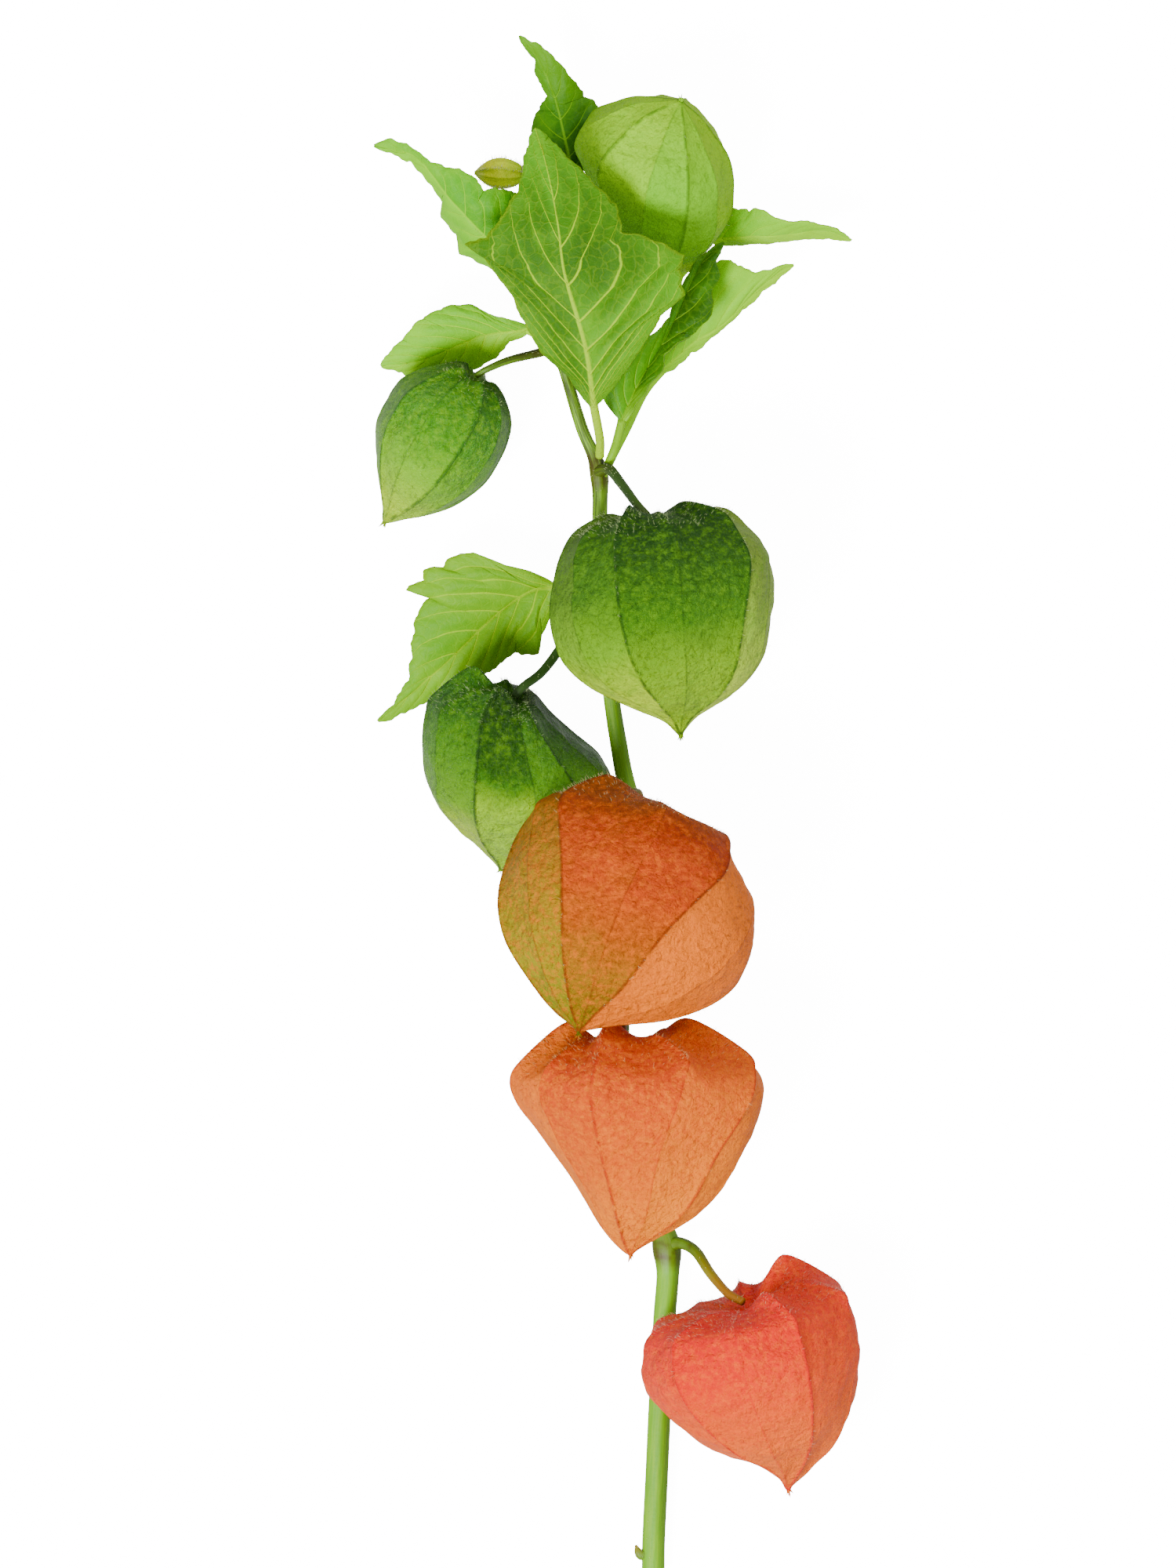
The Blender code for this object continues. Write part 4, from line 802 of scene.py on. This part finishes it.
LEAVES["leaf_right_front"] = dict(
    root=((-2.5, 62.6, 12.8),), stalk=((-0.6, 66.8, 15.3), (0.3, 69.5, 15.5)),
    rib=((1.3, 73.5, 16), (4, 79.5, 16), (7, 84.8, 15.5), (9.2, 88.5, 15), (11.5, 93, 14.4),
         (14.2, 99, 14), (16.8, 104, 13.8), (20.7, 107.4, 13.2)),
    left=((0.03, -2, 77, 16), (0.08, -2.5, 80.2, 17), (0.15, 0, 84, 17.5), (0.25, 4, 87.8, 17.5),
          (0.32, 6.9, 90, 17), (0.4, 8.9, 91.2, 16), (0.5, 10.4, 93.6, 14.2), (0.65, 13, 99.2, 14.2),
          (0.8, 15.5, 104, 14.8)),
    right=((0.08, 3.6, 75.8, 17), (0.18, 6.7, 80.2, 17.5), (0.26, 8.9, 82.8, 17.5), (0.34, 9.6, 86, 17),
           (0.4, 12, 88.2, 16.5), (0.48, 15, 89.7, 16), (0.56, 18.6, 94.3, 15.5), (0.66, 18.3, 98.1, 15),
           (0.74, 19.8, 100.8, 15), (0.84, 19.2, 104, 14.4)), arch=0.08, pillow=0.4,
    left_half=((0, 111, 160, 11), (0.35, 99, 147, 11), (0.6, 86, 129, 12), (1, 72, 109, 14)),
    right_half=((0, 153, 192, 42), (0.2, 80, 121, 15), (0.6, 69, 103, 12), (1, 76, 115, 19)),
    dark=(61, 96, 11), patch=(105, 152, 16), patchy=0.35,
    vein=(159, 192, 49), vein_shows=0.6, glow=(153, 196, 14), sheer=0.2, rough=0.42)
LEAVES["leaf_mid_left"] = dict(
    stalk=((-13.4, 88.6, 13.2), (-14.8, 89.7, 12.5)),
    rib=((-16.9, 90.8, 11.5), (-24.6, 90, 9.5), (-29, 88.5, 8), (-36.8, 85.3, 5.5), (-45, 84, 4)),
    left=((0.12, -20.2, 88.6, 9), (0.3, -24, 85.2, 6.5), (0.45, -28.2, 83.6, 4.5), (0.62, -34, 82.6, 3.3),
          (0.76, -39.6, 82.2, 2.8), (0.84, -41, 83.2, 3.2)),
    right=((0.06, -20.6, 92.9, 12), (0.12, -24, 93.6, 11.5), (0.18, -27.6, 95.8, 11),
           (0.28, -33.4, 95, 10), (0.38, -36.8, 93.1, 9), (0.48, -39, 91.2, 8), (0.6, -40.6, 89.2, 6.5),
           (0.7, -42, 88.2, 6), (0.84, -43.4, 86.2, 5)), arch=0.1,
    left_half=((0, 170, 213, 61), (0.4, 184, 225, 61), (1, 174, 219, 46)),
    right_half=((0, 143, 196, 26), (0.5, 164, 215, 30), (1, 164, 215, 42)),
    dark=(136, 194, 19), quilted=0.35, patch=(189, 231, 68),
    vein=(205, 237, 102), vein_shows=0.8, vein_width=0.45, glow=(188, 235, 40), sheer=0.36)
LEAVES["leaf_low_left"] = dict(
    stalk=((-5.5, 41.5, 11.5), (-8, 42, 11)),
    rib=((-11.8, 41.5, 10), (-15.8, 41, 9), (-20.6, 38, 7.5), (-25.5, 33.8, 6), (-30.4, 29, 5),
         (-36.6, 23.4, 4), (-45.6, 15.8, 2.5)),
    left=((0.03, -12.6, 36, 8), (0.07, -14.2, 32.4, 7), (0.1, -14.8, 29, 6), (0.17, -19.2, 29, 5.5),
          (0.26, -22, 27, 4.6), (0.36, -24.3, 25.5, 4), (0.5, -29.2, 23, 2.8), (0.66, -34, 21.4, 2.2),
          (0.84, -39.8, 18, 2.2)),
    right=((0.02, -16.3, 44.4, 11), (0.04, -21.1, 45.6, 11.5), (0.07, -27.3, 48.1, 11),
           (0.11, -30.4, 47.7, 10.5), (0.15, -33.4, 45.4, 10), (0.19, -36.8, 45, 9.5), (0.23, -37, 43, 9),
           (0.27, -40, 41.1, 8), (0.33, -35.6, 39.6, 7.5), (0.42, -37.8, 36.3, 6.5), (0.58, -39, 28.3, 5),
           (0.74, -39.6, 23.8, 4), (0.88, -42.6, 18.9, 3)), arch=0.08, pillow=0.6,
    left_half=((0, 137, 178, 49), (0.5, 148, 190, 42), (1, 151, 192, 46)),
    right_half=((0, 146, 184, 61), (0.3, 143, 184, 53), (0.5, 129, 176, 31), (1, 146, 189, 40)),
    dark=(107, 155, 22), quilted=0.35, patch=(163, 200, 53),
    vein=(186, 213, 93), vein_shows=0.85, vein_width=0.55, glow=(168, 209, 39), sheer=0.34)


def whole_edge(edge, rib, hand):
    """A blade's edge with its ends: narrow at the foot and at the tip, square to the midrib."""
    ends = []
    for share, point, after, half_width in ((0, rib[0], rib[1], STALK), (1, rib[-1], rib[-2], TIP / 2)):
        along = unit(np.array(after, float) - point) * (1 if share == 0 else -1)
        square = unit(np.array((-along[1], along[0], 0))) * hand * half_width
        ends.append((share, *(point + square)))
    return np.array([ends[0], *edge, ends[1]])


def edge_points(edge, middle, shares, seed):
    """The edge at each share, bowed out a little between its teeth, and uneven."""
    line = np.column_stack([np.interp(shares, edge[:, 0], edge[:, k]) for k in (1, 2, 3)])
    cell = np.clip(np.searchsorted(edge[:, 0], shares, "right") - 1, 0, len(edge) - 2)
    step = (shares - edge[cell, 0]) / (edge[cell + 1, 0] - edge[cell, 0])
    chord = np.linalg.norm(edge[cell + 1, 1:] - edge[cell, 1:], axis=1)
    outward = unit(line - middle + 1e-6)
    waves = [noise.noise(Vector((s / 2.2, seed, 0))) + 0.5 * noise.noise(Vector((s / 0.9, seed, 9)))
             for s in reached(line)]
    uneven = np.array(waves) * 0.55 * np.minimum(1, 12 * shares * (1 - shares))
    return line + outward * (0.06 * chord * 4 * step * (1 - step) + uneven)[:, None]


def blade_rows(leaf, seed):
    """Rows of points across the blade, the ways they face, shares along and across it, and its marks."""
    left, right = whole_edge(leaf.left, leaf.rib, 1), whole_edge(leaf.right, leaf.rib, -1)
    shares = np.unique(np.concatenate([np.linspace(0, 1, BLADE_ROWS), left[:, 0], right[:, 0]]).round(4))
    middle = smooth_curve(leaf.rib, shares)
    length = reached(middle)[-1]
    edges = edge_points(left, middle, shares, seed), edge_points(right, middle, shares, seed + 3)
    steps = np.linspace(0, 1, HALF_COLUMNS + 1) ** 1.4
    across = np.concatenate([-steps[:0:-1], steps])
    rows = np.empty((len(shares), len(across), 3))
    vein, pillow, branch, pitch = (np.zeros(rows.shape[:2]) for _ in range(4))
    for j, u in enumerate(across):
        reach = edges[u > 0] - middle
        size = np.linalg.norm(reach, axis=1)
        a = abs(u)
        rows[:, j] = middle + reach * a
        rows[:, j, 2] += leaf.arch * size * 4 * a * (1 - a)
        rib_wide = leaf.vein_width * (0.2 + 0.8 * (1 - shares))
        vein[:, j] = np.exp(-(size * a / rib_wide) ** 2)
        starts = np.array(leaf.veins[u > 0])
        spaces = np.diff(starts)
        start = shares - leaf.drift * a ** 1.3
        gap = np.interp(start, starts, np.arange(len(starts)))
        before, after = np.minimum(start - starts[0], 0), np.maximum(start - starts[-1], 0)
        branch[:, j] = gap + before / spaces[0] + after / spaces[-1]
        pitch[:, j] = np.interp(start, (starts[1:] + starts[:-1]) / 2, spaces) * length * 0.85
        pillow[:, j] = np.abs(np.sin(np.pi * gap)) * 4 * a * (1 - a) * np.minimum(size / 12, 1)
    normal = unit(np.cross(np.gradient(rows, axis=1), np.gradient(rows, axis=0)))
    normal *= np.sign(normal[..., 2].sum())
    for _ in range(6):
        normal[1:-1] = (normal[:-2] + 2 * normal[1:-1] + normal[2:]) / 4
    normal = unit(normal)
    crinkle = np.array([noise.noise(Vector(p) / 3.2 + Vector((seed, 0, 0))) for p in rows.reshape(-1, 3)])
    relief = 0.22 * crinkle.reshape(vein.shape) * (1 - vein) * np.minimum(4 * (1 - np.abs(across)), 1)
    relief += leaf.pillow * pillow + leaf.raised * vein * 0.5
    return rows + normal * relief[..., None], normal, shares, across, (vein, pillow, branch, pitch)


def leaf_mesh(leaf, seed):
    """Upper and lower faces of stalk and blade, with the marks that its finish is painted by."""
    rows, normal, shares, across, (vein, pillow, branch, pitch) = blade_rows(leaf, seed)
    rib_bulk = np.exp(-(np.abs(across) / 0.18) ** 2)[None, :] * (1 - shares)[:, None]
    route = (*leaf.root, *leaf.stalk, leaf.rib[0])
    count = 8 * len(route)
    run = smooth_curve(route, np.linspace(0, 1, count))
    heading = unit(np.gradient(run, axis=0))
    side = unit(rows[0, -1] - rows[0, 0])
    turns = np.radians(np.linspace(178, 2, len(across)))[:, None]
    stalk_upper, stalk_lower = [], []
    for centre, direction in zip(run[:-1][::-1], heading[:-1][::-1]):
        side = unit(side - direction * side.dot(direction))
        over = np.cross(side, direction)
        over *= np.sign(over[2]) if abs(over[2]) > 0.2 else 1
        stalk_upper.insert(0, centre + STALK * (np.cos(turns) * side + np.sin(turns) * over))
        stalk_lower.insert(0, centre + STALK * (np.cos(turns) * side - np.sin(turns) * over))
    upper = np.concatenate([stalk_upper, rows + normal * BLADE / 2])
    lower = np.concatenate([stalk_lower, rows - normal * (BLADE / 2 + 0.8 * rib_bulk)[..., None]])
    upper[..., 2] = np.maximum(upper[..., 2], BLADE)
    marks = {}
    for name, on_stalk, values in (("along", -0.05, shares[:, None]), ("across", 0, across[None, :]),
                                   ("vein", 0.8, vein), ("pillow", 0, pillow), ("branch", 0.5, branch),
                                   ("pitch", 9, pitch)):
        stalk = np.full((count - 1, len(across)), on_stalk)
        marks[name] = np.tile(np.vstack([stalk, np.broadcast_to(values, vein.shape)]).ravel(), 2)
    return upper, lower, marks


def leaf_faces(rings, wide):
    """Faces of a thin closed body with an upper and a lower sheet of points."""
    under = rings * wide
    faces = []
    for j in range(rings - 1):
        for a in range(j * wide, j * wide + wide - 1):
            faces.append((a, a + 1, a + wide + 1, a + wide))
            faces.append((a + under, a + wide + under, a + wide + 1 + under, a + 1 + under))
        for a in (j * wide, j * wide + wide - 1):
            faces.append((a, a + wide, a + wide + under, a + under))
    for j in (0, rings - 1):
        foot = [j * wide + k for k in range(wide)]
        faces.append(tuple(foot + [under + v for v in reversed(foot)]))
    return faces


def leaf_finish(name, leaf):
    """The leaf's skin: its two halves' colours from foot to tip with painted light and shade, a painted
    shadow where one is given, pale veins, a fine net and soft patches.
    """
    skin = Finish(name, leaf.sheer, leaf.glow)
    along = skin.mark("along") + (skin.cloud(6.0) - 0.5) * 0.16
    # The two halves' colours hold painted light and shade as well as the leaf's own green.
    right = skin.mark("across").rise(-0.06, 0.06)
    skin.colour = right.between(along.ramp(leaf.left_half), along.ramp(leaf.right_half))
    skin.lay(leaf.patch, skin.cloud(7.0, 4.0).rise(0.42, 0.68) * leaf.patchy)
    quilt = skin.mark("pillow").rise(0.15, 0.9) * (0.5 + skin.cloud(5.0) * 0.8)
    skin.lay(leaf.dark, quilt * leaf.quilted)
    # Painted shadow: the leaf is darkened round the given point.
    if leaf.shadow:
        ends = {0: skin.place(), 1: leaf.shadow}
        away = Shade(skin.tree, "VectorMath", ends, "Value", operation="DISTANCE") * 1000
        skin.lay(leaf.dark, (away + (skin.cloud(4.0) - 0.5) * 8).rise(13.0, 4.0) * 0.75)
    wander = skin.bent_place(2.0, 1.4)
    net_lines = skin.net(2.1, wander).rise(0.12, 0.0)
    fine_lines = skin.net(0.8, wander).rise(0.16, 0.0)
    skin.lay(leaf.vein, net_lines * 0.1 + fine_lines * 0.04)
    skin.lay(leaf.vein, skin.mark("vein").rise(0.15, 0.8) * leaf.vein_shows)
    edge = skin.mark("across") * skin.mark("across")
    step = skin.mark("branch") + (skin.cloud(6.0) - 0.5) * 0.05
    step = step - step.math("FLOOR", step)
    off = (0.5 - step.math("ABSOLUTE", step - 0.5)) * skin.mark("pitch")
    wide = (1.1 - edge * 0.7) * leaf.vein_width * 0.55
    side_vein = (off / wide).rise(1.0, 0.25) * (1 - edge * 0.5)
    skin.lay(leaf.vein, side_vein * leaf.vein_shows)
    skin.lay(leaf.vein, edge.rise(0.9, 1.0) * 0.35)
    lines = side_vein * 2.0 + net_lines * 0.8 + fine_lines * 0.4
    gloss = leaf.rough + (skin.cloud(3.0) - 0.5) * 0.2
    return skin.cover(gloss, lines * leaf.raised + skin.cloud(0.9, 4.0) * 0.5, 0.2, 0.1)


for seed, (node, given) in enumerate(LEAVES.items()):
    leaf = SimpleNamespace(**{**USUAL_LEAF, **given})
    upper, lower, marks = leaf_mesh(leaf, seed * 5.1 + 2)
    points = np.concatenate([upper.reshape(-1, 3), lower.reshape(-1, 3)])
    finish = leaf_finish(node + "_blade", leaf)
    add_piece(node + "_blade", node, points, leaf_faces(*upper.shape[:2]), finish, marks)
